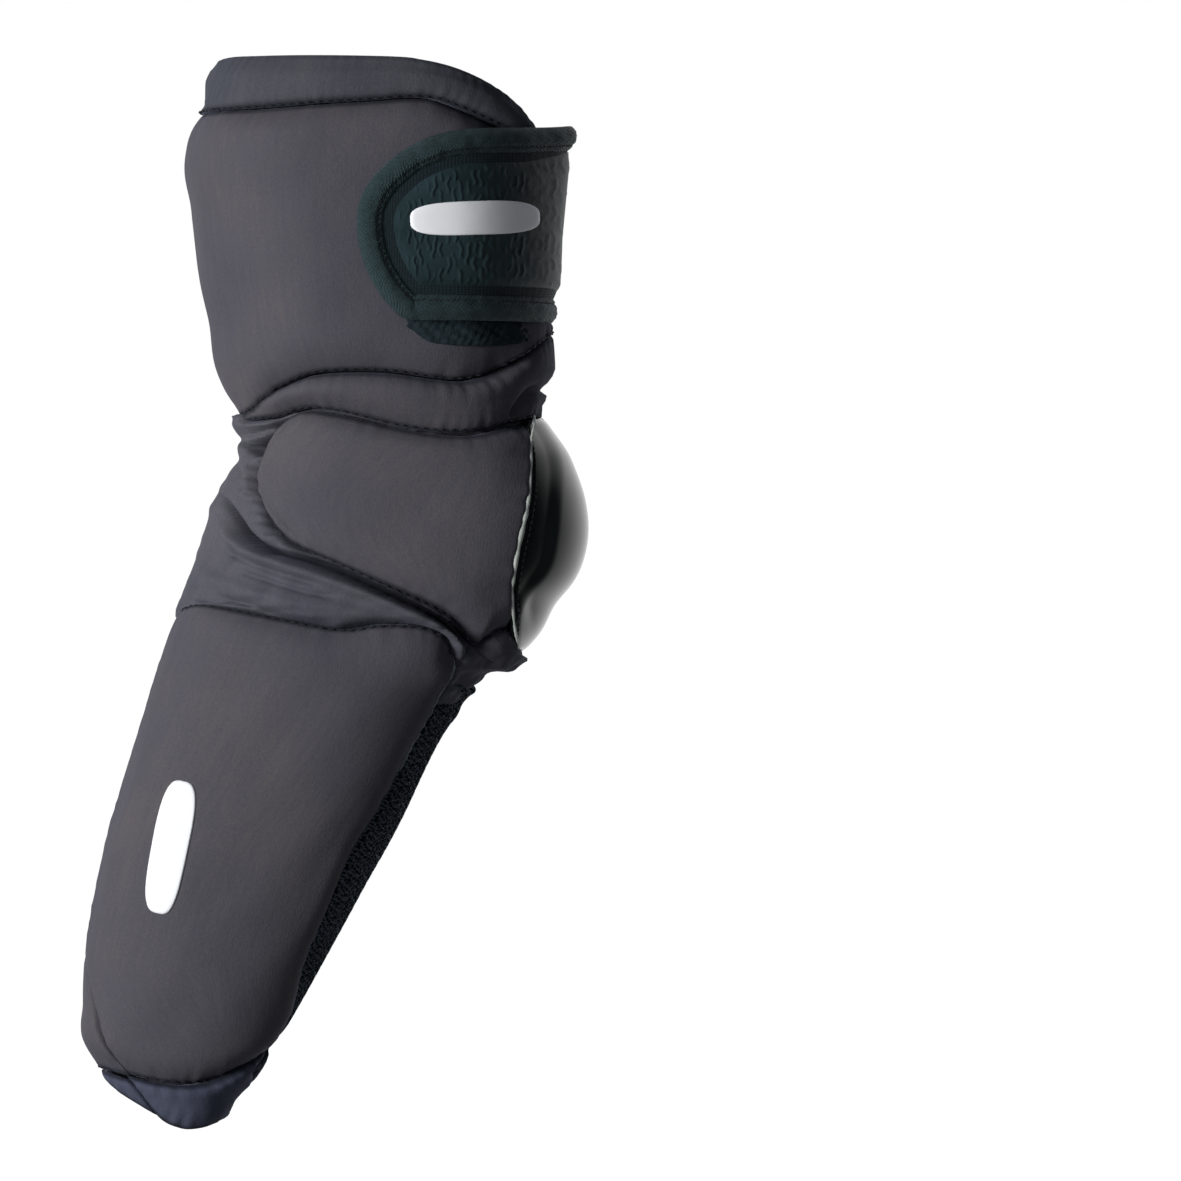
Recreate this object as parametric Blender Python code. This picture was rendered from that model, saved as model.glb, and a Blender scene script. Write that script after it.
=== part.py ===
"""Padded arm guard: upper-arm sleeve with a strap, elbow wings with a hard cap, and forearm pads.

Metres, +Z up. The origin is the centre of the upper opening. The back of the arm faces +X, the crook
of the elbow faces -X and the outer side of the arm faces -Y. The guard is stored bent by about 26
degrees, the shape it has when nothing holds it.
"""

import functools
import math

import bmesh
import bpy
import numpy as np

MM = 0.001

# ---- Sleeve shape, millimetres ---------------------------------------------------------------
# One row per station, from the upper opening to the wrist: crook end (x, z), back end (x, z) and
# half the width of the sleeve along Y. A station is the flat slice between its two ends.
STATIONS = np.array([
    (-64.5, 0.0, 65.0, 0.0, 58.0),
    (-71.5, -22.0, 68.5, -22.0, 60.0),
    (-75.0, -42.0, 69.5, -42.0, 61.0),
    (-73.0, -73.0, 69.0, -73.0, 60.0),
    (-67.5, -100.5, 67.5, -100.5, 58.0),
    (-61.0, -124.0, 66.5, -124.0, 56.0),
    (-54.5, -137.5, 66.0, -136.5, 53.0),
    (-53.0, -146.0, 69.5, -141.5, 52.0),
    (-54.0, -156.0, 81.0, -171.0, 52.0),
    (-58.0, -167.0, 80.0, -195.0, 52.0),
    (-64.0, -186.5, 65.0, -222.5, 51.0),
    (-69.5, -203.0, 46.5, -244.0, 50.0),
    (-74.5, -217.5, 26.5, -260.5, 49.0),
    (-93.0, -268.0, 2.5, -310.0, 45.0),
    (-104.0, -311.0, -17.0, -346.5, 41.0),
    (-111.5, -346.5, -34.5, -377.5, 37.0),
    (-114.5, -371.5, -47.5, -397.0, 33.0),
    (-109.0, -390.0, -55.5, -406.5, 29.0),
    (-103.0, -405.0, -57.0, -419.0, 25.0),
])
ROUNDNESS = 2.4            # exponent of the rounded-oval slice, 2 is an ellipse

COVER = 1.2                # fabric cover over a pad
GAP = 0.3                  # air between two pieces that lie on each other
PAD = 12.0                 # cover and foam together on the upper arm and elbow
WRIST_PAD = 7.0            # the same at the wrist
LINING = 1.2               # inner lining sleeve
LINING_GAP = 2.8           # pad to lining
CAP = 3.0                  # hard elbow cap
MESH = 3.0                 # open mesh panel on the back of the forearm
EDGE_DROP = 4.5            # how far a pad's surface falls at its stitched edge
CROOK_BULGE = 9.5          # how far the gusset stands out at the crook

# ---- Outlines, seen from the outer side, (x, z) in millimetres --------------------------------
RIM_SEAM = [(-68.5, -20.5), (-46.5, -20.0), (-20.5, -18.5), (0.0, -17.5), (15.5, -16.5), (28.0, -18.0),
            (47.5, -25.5), (57.5, -30.5), (67.0, -35.5)]
RIM_TOP = [(-64.0, -0.5), (-44.0, 2.3), (6.0, 1.6), (28.5, -2.0), (45.0, -10.5), (55.5, -20.0),
           (61.0, -27.0)]
UPPER_PAD_END = [(-54.0, -135.5), (-34.5, -126.0), (-18.5, -122.5), (1.0, -121.5), (20.5, -123.0),
                 (40.0, -125.0), (59.5, -120.5), (66.5, -117.5)]
BAND_END = [(-53.0, -141.5), (-34.5, -135.5), (-11.0, -132.5), (8.5, -136.5), (28.0, -141.5),
            (47.5, -143.5), (67.5, -139.5)]
WING_TOP = [(65.5, -145.5), (47.5, -147.5), (28.0, -145.0), (8.5, -140.5), (-11.0, -137.0),
            (-30.5, -139.0), (-37.5, -144.0)]
WING_FRONT = [(-37.5, -144.0), (-41.5, -152.0), (-45.5, -162.5), (-45.0, -168.0), (-40.5, -179.0),
              (-36.5, -183.5)]
WING_BOTTOM = [(52.0, -231.5), (40.0, -225.5), (28.0, -217.0), (20.5, -211.5), (7.0, -206.5),
               (-10.0, -197.5), (-27.5, -190.5), (-36.5, -183.5)]
WELT_LINE = [(66.5, -143.5), (62.5, -163.0), (58.5, -182.5), (55.5, -202.0), (54.0, -217.5),
             (53.5, -231.5)]
FORE_TOP = [(22.0, -225.0), (8.5, -221.0), (-15.0, -222.0), (-46.0, -216.0), (-64.0, -214.0),
            (-73.0, -218.0)]
FORE_BACK = [(22.0, -225.0), (21.0, -249.5), (14.0, -261.0), (6.5, -277.0), (-4.0, -294.5),
             (-14.5, -312.5), (-30.5, -342.5), (-37.5, -360.0), (-49.0, -387.0)]
FORE_FRONT = [(-73.0, -218.0), (-89.0, -258.5), (-101.0, -304.0), (-104.5, -320.0), (-108.5, -338.0),
              (-109.5, -350.0), (-109.0, -363.5), (-105.0, -379.0), (-98.0, -392.0)]
FORE_END = [(-49.0, -387.0), (-55.5, -391.5), (-65.5, -396.0), (-74.5, -396.5), (-86.0, -394.5),
            (-98.0, -392.0)]
FLAP_TOP = [(-48.0, -390.0), (-55.0, -394.5), (-65.5, -399.0), (-74.5, -399.5), (-86.0, -397.5),
            (-96.5, -395.5)]
FLAP_END = [(-51.0, -398.0), (-56.0, -407.0), (-63.0, -412.5), (-72.0, -415.5), (-84.0, -410.0),
            (-93.0, -402.0)]
INNER_FLAP_TOP = [(-48.0, -390.0), (-55.0, -394.5), (-65.5, -399.0), (-74.5, -399.5), (-86.0, -397.5),
                  (-98.0, -394.0), (-109.0, -383.0)]
INNER_FLAP_END = [(-51.0, -397.0), (-58.0, -404.0), (-68.0, -409.5), (-80.0, -412.0), (-93.0, -408.0),
                  (-103.0, -400.5), (-113.0, -388.5)]

# ---- Strap, millimetres and degrees round the sleeve ------------------------------------------
STRAP_TOP = -28.0
STRAP_BOTTOM = -102.0
STRAP_FOLD_ANGLE = 1.0     # the tab starts here, on the back of the arm
STRAP_TIP_X = -6.0         # front of the rounded end
STRAP_ROUND = 30.0         # corner radius of the rounded end
STRAP_BACK_X = (66.0, 48.0, 32.0)      # points of its straight edges, from the back of the arm on
STRAP_ANCHOR_ANGLE = -112.0
FOLD_TOP_X = 75.5          # the fold stands off the sleeve more at its upper corner
FOLD_BOTTOM_X = 71.0
BINDING = 10.0             # width of the twill edge binding

# ---- Joints -----------------------------------------------------------------------------------
ELBOW_AXIS = (10.0, -171.0)            # x, z of the elbow's bending axis, which runs along Y
STRAP_AXIS = (75.0, 0.0, -65.0)        # at mid height of the fold, outside both layers


def ease(t):
    """Smooth step from 0 to 1."""
    t = min(1.0, max(0.0, t))
    return t * t * (3.0 - 2.0 * t)


def spline(values, t):
    """Catmull-Rom curve through values, whole numbers of t land on them."""
    last = len(values) - 1
    i = min(last - 1, max(0, math.floor(t)))
    f = t - i
    p1 = values[i]
    p2 = values[i + 1]
    p0 = values[i - 1] if i > 0 else 2.0 * p1 - p2
    p3 = values[i + 2] if i + 2 <= last else 2.0 * p2 - p1
    linear = (p2 - p0) * f
    square = (2.0 * p0 - 5.0 * p1 + 4.0 * p2 - p3) * f * f
    cube = (3.0 * p1 - p0 - 3.0 * p2 + p3) * f ** 3
    return 0.5 * (2.0 * p1 + linear + square + cube)


def sleeve_point(station, angle, depth):
    """Point on the sleeve, depth millimetres inside its outer surface.

    The angle runs from the back of the arm (0) over the outer side (90) to the crook (180).
    """
    row = spline(STATIONS, station)
    crook = row[0:2]
    back = row[2:4]
    centre = (crook + back) / 2.0
    half = np.linalg.norm(back - centre)
    along = (back - centre) / half
    cos = math.cos(math.radians(angle))
    sin = math.sin(math.radians(angle))
    power = 2.0 / ROUNDNESS
    reach = math.copysign(abs(cos) ** power, cos) * (half - depth)
    y = -math.copysign(abs(sin) ** power, sin) * (row[4] - depth)
    x, z = centre + along * reach
    return (x * MM, y * MM, z * MM)


@functools.lru_cache(maxsize=None)
def locate(x, z):
    """Station and angle of the outer-side point seen at (x, z)."""
    def above(station):
        row = spline(STATIONS, station)
        run = row[2:4] - row[0:2]
        return run[0] * (z - row[1]) - run[1] * (x - row[0])

    last = len(STATIONS) - 1
    low = -0.5
    while above(low + 0.25) < 0.0 and low < last:
        low += 0.25
    high = low + 0.25
    for _ in range(30):
        middle = (low + high) / 2.0
        if above(middle) < 0.0:
            low = middle
        else:
            high = middle
    row = spline(STATIONS, low)
    centre = (row[0:2] + row[2:4]) / 2.0
    half = np.linalg.norm(row[2:4] - centre)
    share = float(np.dot((x, z) - centre, row[2:4] - centre)) / half ** 2
    share = min(1.0, max(-1.0, share))
    cos = math.copysign(abs(share) ** (ROUNDNESS / 2.0), share)
    return low, math.degrees(math.acos(cos))


def edge(outline, inner_side=False):
    """Curve t -> (station, angle) along an outline of side-view points, even in arc length."""
    points = np.array(outline, dtype=float)
    steps = np.linalg.norm(np.diff(points, axis=0), axis=1)
    lengths = np.concatenate(([0.0], np.cumsum(steps)))
    lengths /= lengths[-1]

    def at(t):
        t = min(1.0, max(0.0, t))
        i = min(len(steps) - 1, int(np.searchsorted(lengths, t, side="right")) - 1)
        share = (t - lengths[i]) / (lengths[i + 1] - lengths[i])
        x, z = spline(points, i + share)
        station, angle = locate(x, z)
        return np.array((station, -angle if inner_side else angle))

    return at


def straight(start, end):
    """Straight line t -> (station, angle) between two sleeve positions."""
    start = np.array(start, dtype=float)
    end = np.array(end, dtype=float)
    return lambda t: start + (end - start) * t


def patch(top, back, bottom, front):
    """Map (u, v) to the sleeve inside four edges: u runs back to front, v top to bottom."""
    def at(u, v):
        sides = (1.0 - v) * top(u) + v * bottom(u) + (1.0 - u) * back(v) + u * front(v)
        corners = (1.0 - u) * (1.0 - v) * top(0.0) + u * (1.0 - v) * top(1.0)
        corners = corners + (1.0 - u) * v * bottom(0.0) + u * v * bottom(1.0)
        return sides - corners

    return at


def ring_edge(outline):
    """Station as a function of the angle all round the sleeve, the inner side mirrors the outer."""
    found = sorted((locate(x, z) for x, z in outline), key=lambda item: item[1])
    angles = [item[1] for item in found]
    stations = [item[0] for item in found]

    def at(angle):
        folded = abs((angle + 180.0) % 360.0 - 180.0)
        return float(np.interp(folded, angles, stations))

    return at


def ring(top, bottom):
    """Map (u, v) to the sleeve for a piece that runs all the way round it."""
    def at(u, v):
        angle = 360.0 * u
        return np.array(((1.0 - v) * top(angle) + v * bottom(angle), angle))

    return at


def pad_drop(u, v, columns, rows, closed):
    """How far a pad's surface falls below the sleeve surface: full at its edges, none inside."""
    across = 1.0 if closed else min(u, 1.0 - u) * columns / 1.6
    down = min(v, 1.0 - v) * rows / 1.3
    return EDGE_DROP * (1.0 - ease(across)) + EDGE_DROP * (1.0 - ease(down)) * ease(across)


def pad_depth(station):
    """Depth of the inner face of the pads at a station."""
    return PAD + (WRIST_PAD - PAD) * ease((station - 12.0) / 5.0)


def paint(obj, colour, roughness, metallic=0.0):
    """Give an object its own Principled material."""
    material = bpy.data.materials.new(obj.name)
    material.use_nodes = True
    shader = material.node_tree.nodes["Principled BSDF"]
    shader.inputs["Base Color"].default_value = (*colour, 1.0)
    shader.inputs["Roughness"].default_value = roughness
    shader.inputs["Metallic"].default_value = metallic
    material.diffuse_color = (*colour, 1.0)
    obj.data.materials.append(material)


def solid(name, points, faces, look, parent):
    """One closed, smooth-shaded body from its points and faces, with every face turned outwards."""
    mesh = bpy.data.meshes.new(name)
    mesh.from_pydata(points, [], faces)
    sheet = bmesh.new()
    sheet.from_mesh(mesh)
    bmesh.ops.remove_doubles(sheet, verts=sheet.verts, dist=0.00002)
    bmesh.ops.recalc_face_normals(sheet, faces=sheet.faces)
    if sheet.calc_volume(signed=True) < 0.0:
        bmesh.ops.reverse_faces(sheet, faces=sheet.faces)
    for face in sheet.faces:
        face.smooth = True
    sheet.to_mesh(mesh)
    sheet.free()
    obj = bpy.data.objects.new(name, mesh)
    bpy.context.collection.objects.link(obj)
    paint(obj, *look)
    if parent:
        obj.parent = parent
        obj.matrix_parent_inverse = parent.matrix_world.inverted()
    return obj


def shell(name, place, columns, rows, outer, inner, look, parent=None, closed=False):
    """Closed solid between two depths of a grid laid on the sleeve.

    place maps (u, v) to a sleeve position, and outer and inner give the depth there.
    """
    width = columns if closed else columns + 1
    points = []
    for depth in (outer, inner):
        for j in range(rows + 1):
            for i in range(width):
                u = i / columns
                v = j / rows
                station, angle = place(u, v)
                points.append(sleeve_point(station, angle, depth(u, v, station, angle)))
    layer = width * (rows + 1)

    def index(i, j, side):
        return side * layer + j * width + i % width

    faces = []
    for j in range(rows):
        for i in range(columns):
            a, b, c, d = index(i, j, 0), index(i + 1, j, 0), index(i + 1, j + 1, 0), index(i, j + 1, 0)
            for outside in ((a, b, c), (a, c, d)):
                faces.append(outside)
                faces.append([corner + layer for corner in reversed(outside)])
    for i in range(columns):
        for j in (0, rows):
            faces.append([index(i, j, 0), index(i, j, 1), index(i + 1, j, 1), index(i + 1, j, 0)])
    if not closed:
        for j in range(rows):
            for i in (0, columns):
                faces.append([index(i, j, 0), index(i, j + 1, 0), index(i, j + 1, 1), index(i, j, 1)])
    return solid(name, points, faces, look, parent)


def padded_pair(name, place, columns, rows, parent=None, closed=False, suffix=""):
    """A fabric cover and the foam pad right under it, on the same grid."""
    def drop(u, v):
        return pad_drop(u, v, columns, rows, closed)

    shell(name + "_cover" + suffix, place, columns, rows,
          lambda u, v, s, a: drop(u, v),
          lambda u, v, s, a: drop(u, v) + COVER,
          FABRIC, parent, closed)
    shell(name + "_foam" + suffix, place, columns, rows,
          lambda u, v, s, a: drop(u, v) + COVER + GAP,
          lambda u, v, s, a: pad_depth(s),
          FOAM, parent, closed)


def even(depth):
    """The same depth everywhere."""
    return lambda u, v, s, a: depth


def axis_empty(name, x, y, z):
    """Empty on a joint's axis, the parent of everything that turns with it."""
    empty = bpy.data.objects.new(name, None)
    empty.location = (x * MM, y * MM, z * MM)
    bpy.context.collection.objects.link(empty)
    bpy.context.view_layer.update()
    return empty


# Looks: colour, roughness, metallic.
FABRIC = ((0.060, 0.055, 0.068), 0.85)
FOAM = ((0.105, 0.105, 0.110), 0.95)
LINING_CLOTH = ((0.030, 0.030, 0.034), 0.90)
STRAP_CLOTH = ((0.008, 0.012, 0.014), 0.75)
BINDING_CLOTH = ((0.035, 0.050, 0.055), 0.70)
HOOK = ((0.015, 0.017, 0.018), 0.60)
MARK = ((0.820, 0.830, 0.850), 0.45)
CAP_PLASTIC = ((0.025, 0.030, 0.028), 0.18)
WELT = ((0.420, 0.440, 0.420), 0.60)
MESH_CLOTH = ((0.010, 0.010, 0.012), 0.80)


def clear_scene():
    """Remove everything that a new file starts with."""
    for obj in list(bpy.data.objects):
        bpy.data.objects.remove(obj, do_unlink=True)


def build_upper_arm():
    """Rim, upper-arm pads, lining, loop field and the roll above the elbow."""
    rim_top = ring_edge(RIM_TOP)
    rim_end = ring_edge(RIM_SEAM)
    padded_pair("rim", ring(rim_top, rim_end), 24, 3, closed=True)

    pad_end = ring_edge(UPPER_PAD_END)

    def upper_pad(first, last):
        def place(u, v):
            angle = first + (last - first) * u
            top = rim_end(angle) + 0.12
            return np.array(((1.0 - v) * top + v * pad_end(angle), angle))
        return place

    padded_pair("biceps", upper_pad(-7.5, 187.5), 13, 6, suffix="_outer")
    padded_pair("biceps", upper_pad(189.5, 350.5), 11, 6, suffix="_inner")
    lining_top = PAD + LINING_GAP
    shell("upper_lining", ring(lambda a: rim_top(a) + 0.15, lambda a: 4.8), 24, 5,
          even(lining_top), even(lining_top + LINING), LINING_CLOTH, closed=True)

    roll = ring(lambda a: pad_end(a) + 0.14, ring_edge(BAND_END))
    padded_pair("band", roll, 24, 2, closed=True)


def fold_depth(base):
    """Depth along the strap: on the sleeve for most of its length, out to the fold at its start."""
    def at(u, v, station, angle):
        x = sleeve_point(station, 0.0, 0.0)[0] / MM
        fold_x = FOLD_TOP_X + (FOLD_BOTTOM_X - FOLD_TOP_X) * v
        reach = 1.0 - ease((abs(angle) - 4.0) / 24.0)
        return base - max(0.0, fold_x - x - 3.0) * reach

    return at


def strap_tab_place(margin):
    """Map (u, v) to the strap tab, drawn in by margin millimetres from its free edges."""
    top = STRAP_TOP - margin
    bottom = STRAP_BOTTOM + margin
    tip = STRAP_TIP_X + margin
    radius = STRAP_ROUND - margin * 0.6
    slant = radius * math.sqrt(0.5)
    back_top = locate(STRAP_BACK_X[0], top)[0]
    back_bottom = locate(STRAP_BACK_X[0], bottom)[0]
    start = STRAP_FOLD_ANGLE + margin * 0.2
    bend_top = (tip + radius - slant, top - radius + slant)
    bend_bottom = (tip + radius - slant, bottom + radius - slant)
    top_run = [(x, top) for x in STRAP_BACK_X] + [(tip + radius, top), bend_top]
    bottom_run = [(x, bottom) for x in STRAP_BACK_X] + [(tip + radius, bottom), bend_bottom]
    front_run = [bend_top, (tip, top - radius), (tip, bottom + radius), bend_bottom]

    def from_fold(run, back_station):
        curve = edge(run)

        def at(t):
            station, angle = curve(t)
            share = ease(t / 0.25)
            return np.array((back_station * (1.0 - share) + station * share,
                             start * (1.0 - share) + angle * share))
        return at

    return patch(from_fold(top_run, back_top), straight((back_top, start), (back_bottom, start)),
                 from_fold(bottom_run, back_bottom), edge(front_run))


def lozenge(name, centre, along, length, width, depth, look, parent):
    """Small plain raised mark with rounded ends, laid on the outer side."""
    along = np.array(along) / np.linalg.norm(along)
    across = np.array((-along[1], along[0]))

    def place(u, v):
        run = (u - 0.5) * 2.0
        half = (1.0 - abs(run) ** 4) ** 0.5 if abs(run) < 0.999 else 0.0
        half = max(0.25, half) * width / 2.0
        x, z = np.array(centre) + along * run * length / 2.0 + across * (v - 0.5) * 2.0 * half
        return np.array(locate(x, z))

    return shell(name, place, 8, 2, even(depth), even(depth + 0.9), look, parent)


def build_strap():
    """The rear strap that is sewn on, and the tab that peels off the loop field."""
    stations = [locate(0.0, STRAP_TOP)[0], locate(0.0, STRAP_BOTTOM)[0]]

    def anchor(u, v):
        angle = -0.8 + (STRAP_ANCHOR_ANGLE + 0.8) * u
        return np.array((stations[0] + (stations[1] - stations[0]) * v, angle))

    shell("strap_anchor", anchor, 15, 4, fold_depth(-4.6), fold_depth(-3.4), STRAP_CLOTH)

    def field(u, v):
        top = locate(0.0, STRAP_TOP - 7.0)[0]
        bottom = locate(0.0, STRAP_BOTTOM - 10.0)[0]
        return np.array((top + (bottom - top) * v, 15.0 + 67.5 * u))

    shell("loop_field", field, 9, 5, even(-1.8), even(-1.0), STRAP_CLOTH)

    tab = axis_empty("strap_tab", *STRAP_AXIS)
    shell("strap_webbing", strap_tab_place(0.0), 10, 5, fold_depth(-4.6), fold_depth(-3.4),
          STRAP_CLOTH, tab)
    full = strap_tab_place(5.0)

    def hooks(u, v):
        return full(0.25 + 0.75 * u, v)

    shell("strap_hook_patch", hooks, 8, 5, even(-2.9), even(-2.1), HOOK, tab)
    shell("strap_grip_panel", strap_tab_place(BINDING + 1.0), 10, 5, fold_depth(-6.0), fold_depth(-5.2),
          STRAP_CLOTH, tab)
    binding(tab)
    lozenge("strap_badge", (36.5, -63.0), (1.0, 0.05), 48.0, 15.0, -7.2, MARK, tab)


def binding(parent):
    """U-shaped edge strip along the strap's top, round its end and along its bottom."""
    outside = strap_tab_place(0.6)
    inside = strap_tab_place(BINDING)
    steps = 10

    def walk(place, t):
        if t < 1.0:
            return place(t, 0.0)
        if t < 2.0:
            return place(1.0, t - 1.0)
        return place(3.0 - t, 1.0)

    def place(u, v):
        t = 3.0 * u
        return walk(outside, t) * (1.0 - v) + walk(inside, t) * v

    def depth(base):
        fold = fold_depth(base)

        def at(u, v, station, angle):
            t = 3.0 * u
            height = 0.0 if t < 1.0 else min(1.0, t - 1.0)
            return fold(0.0, height, station, angle)
        return at

    shell("strap_binding", place, 3 * steps, 1, depth(-6.0), depth(-5.2), BINDING_CLOTH, parent)


def cap_place(grow=0.0):
    """Map (u, v) to the elbow cap: across the back of the elbow and down its length."""
    line = edge(WELT_LINE)

    def at(u, v):
        station, angle = line(0.07 + 0.86 * v)
        return np.array((station, (2.0 * u - 1.0) * (angle + grow)))

    return at


def build_elbow():
    """Wings, hard cap with its liner and welt, and the gathered gusset under them."""
    elbow = axis_empty("elbow", ELBOW_AXIS[0], 0.0, ELBOW_AXIS[1])
    welt_back = [(x - 3.2, z) for x, z in WELT_LINE]
    welt_back[0] = WING_TOP[0]
    welt_back[-1] = WING_BOTTOM[0]
    for suffix, inner_side in (("_outer", False), ("_inner", True)):
        place = patch(edge(WING_TOP, inner_side), edge(welt_back, inner_side),
                      edge(WING_BOTTOM, inner_side), edge(WING_FRONT, inner_side))
        padded_pair("wing", place, 8, 6, elbow, suffix=suffix)

    cap = cap_place(-3.5)
    shell("elbow_cap", cap, 8, 8, even(0.0), even(CAP), CAP_PLASTIC, elbow)
    shell("elbow_cap_liner", cap, 8, 8, even(CAP + GAP), even(PAD), FOAM, elbow)
    build_welt(elbow)

    def bulge(u, v, station, angle):
        crook = ease((abs((angle + 180.0) % 360.0 - 180.0) - 149.0) / 14.0)
        length = ease((station - 6.65) / 0.7) * (1.0 - ease((station - 10.6) / 1.0))
        return PAD + LINING_GAP - CROOK_BULGE * crook * length

    shell("elbow_gusset", lambda u, v: np.array((5.05 + 7.05 * v, 360.0 * u)), 24, 12,
          bulge, lambda u, v, s, a: bulge(u, v, s, a) + LINING, FABRIC, elbow, closed=True)


def build_welt(parent):
    """Light raised strip all round the cap's edge."""
    line = edge(WELT_LINE)
    steps = 12
    count = 2 * (steps + 1)

    def place(u, v):
        step = round(u * count) % count
        side = 1.0 if step <= steps else -1.0
        down = (step if step <= steps else 2 * steps + 1 - step) / steps
        station, angle = line(down)
        past_end = 0.05 * (2.0 * down - 1.0) * v
        return np.array((station + past_end, side * (angle - 2.4 + 2.6 * v)))

    shell("elbow_welt", place, count, 1, even(-0.4), even(2.2), WELT, parent, closed=True)


def build_forearm():
    """Forearm pads, mesh back, lining, the raised mark and the two wrist flaps."""
    forearm = axis_empty("forearm", ELBOW_AXIS[0], 0.0, ELBOW_AXIS[1])
    for suffix, inner_side in (("_outer", False), ("_inner", True)):
        place = patch(edge(FORE_TOP, inner_side), edge(FORE_BACK, inner_side),
                      edge(FORE_END, inner_side), edge(FORE_FRONT, inner_side))
        padded_pair("forearm", place, 8, 10, forearm, suffix=suffix)

    back_line = edge([(x + 1.3, z) for x, z in FORE_BACK[2:]])

    def mesh_place(u, v):
        station, angle = back_line(v)
        return np.array((station, (2.0 * u - 1.0) * angle))

    shell("mesh_panel", mesh_place, 6, 8, even(0.5), even(0.5 + MESH), MESH_CLOTH, forearm)

    shell("forearm_lining", lambda u, v: np.array((12.25 + 4.75 * v, 360.0 * u)), 24, 6,
          lambda u, v, s, a: pad_depth(s) + LINING_GAP,
          lambda u, v, s, a: pad_depth(s) + LINING_GAP + LINING,
          LINING_CLOTH, forearm, closed=True)

    lozenge("forearm_badge", (-78.5, -305.5), (-10.0, -51.0), 54.0, 15.0, -1.8, MARK, forearm)

    for name, top, end, inner_side in (("wrist_flap_outer", FLAP_TOP, FLAP_END, False),
                                       ("wrist_flap_inner", INNER_FLAP_TOP, INNER_FLAP_END, True)):
        place = patch(edge(top, inner_side), edge([top[0], end[0]], inner_side),
                      edge(end, inner_side), edge([top[-1], end[-1]], inner_side))
        shell(name, place, 8, 3, even(1.0), even(6.0), FABRIC, forearm)


clear_scene()
build_upper_arm()
build_strap()
build_elbow()
build_forearm()
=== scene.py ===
"""Looks of the padded arm guard: stitched fabric pads, strap, glossy elbow cap, mesh back."""

import math

import bmesh
import bpy
import numpy as np
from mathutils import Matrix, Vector


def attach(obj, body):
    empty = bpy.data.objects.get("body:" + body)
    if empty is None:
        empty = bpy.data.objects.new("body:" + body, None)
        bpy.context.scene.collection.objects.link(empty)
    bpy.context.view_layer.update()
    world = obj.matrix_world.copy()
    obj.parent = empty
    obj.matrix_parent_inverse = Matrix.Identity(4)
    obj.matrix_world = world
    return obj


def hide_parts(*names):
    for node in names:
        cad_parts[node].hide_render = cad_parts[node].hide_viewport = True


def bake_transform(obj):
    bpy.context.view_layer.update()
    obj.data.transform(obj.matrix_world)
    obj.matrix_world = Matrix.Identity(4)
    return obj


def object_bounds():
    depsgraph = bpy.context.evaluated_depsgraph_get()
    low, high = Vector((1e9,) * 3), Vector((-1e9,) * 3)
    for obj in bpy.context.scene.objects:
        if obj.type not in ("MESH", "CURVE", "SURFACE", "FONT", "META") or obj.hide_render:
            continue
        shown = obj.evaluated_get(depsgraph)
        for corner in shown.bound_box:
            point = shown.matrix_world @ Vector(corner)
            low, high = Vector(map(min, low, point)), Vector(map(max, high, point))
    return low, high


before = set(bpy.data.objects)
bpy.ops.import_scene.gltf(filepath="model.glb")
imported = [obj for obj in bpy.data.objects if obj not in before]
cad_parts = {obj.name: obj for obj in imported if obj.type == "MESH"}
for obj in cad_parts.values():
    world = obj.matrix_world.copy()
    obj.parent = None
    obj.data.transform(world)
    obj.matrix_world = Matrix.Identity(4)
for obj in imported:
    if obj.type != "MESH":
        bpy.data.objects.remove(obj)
cad_low, cad_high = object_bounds()

MM = 0.001

# ---- Sleeve shape, millimetres: the same design as the CAD model ------------------------------
# One row per station, from the upper opening to the wrist: crook end (x, z), back end (x, z) and
# half the width of the sleeve along Y.
STATIONS = np.array([
    (-64.5, 0.0, 65.0, 0.0, 58.0),
    (-71.5, -22.0, 68.5, -22.0, 60.0),
    (-75.0, -42.0, 69.5, -42.0, 61.0),
    (-73.0, -73.0, 69.0, -73.0, 60.0),
    (-67.5, -100.5, 67.5, -100.5, 58.0),
    (-61.0, -124.0, 66.5, -124.0, 56.0),
    (-54.5, -137.5, 66.0, -136.5, 53.0),
    (-53.0, -146.0, 69.5, -141.5, 52.0),
    (-54.0, -156.0, 81.0, -171.0, 52.0),
    (-58.0, -167.0, 80.0, -195.0, 52.0),
    (-64.0, -186.5, 65.0, -222.5, 51.0),
    (-69.5, -203.0, 46.5, -244.0, 50.0),
    (-74.5, -217.5, 26.5, -260.5, 49.0),
    (-93.0, -268.0, 2.5, -310.0, 45.0),
    (-104.0, -311.0, -17.0, -346.5, 41.0),
    (-111.5, -346.5, -34.5, -377.5, 37.0),
    (-114.5, -371.5, -47.5, -397.0, 33.0),
    (-109.0, -390.0, -55.5, -406.5, 29.0),
    (-103.0, -405.0, -57.0, -419.0, 25.0),
])
ROUNDNESS = 2.4            # exponent of the rounded-oval slice, 2 is an ellipse
PAD = 12.0                 # pad thickness on the upper arm and elbow
WRIST_PAD = 7.0            # the same at the wrist
PAD_BACK = PAD - 0.3       # inner face of the pads that lie on the lining
UNDER_DEPTH = 12.6         # the gusset's surface under the pads
OPEN_DEPTH = 3.6           # and where it shows between them
GUSSET_SPLIT = 7.45        # station where the crook sleeve ends and the elbow sleeve starts
SLEEVE_GIRTH = 330.0       # round the sleeve, for the fabric's grid and its weave

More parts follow.
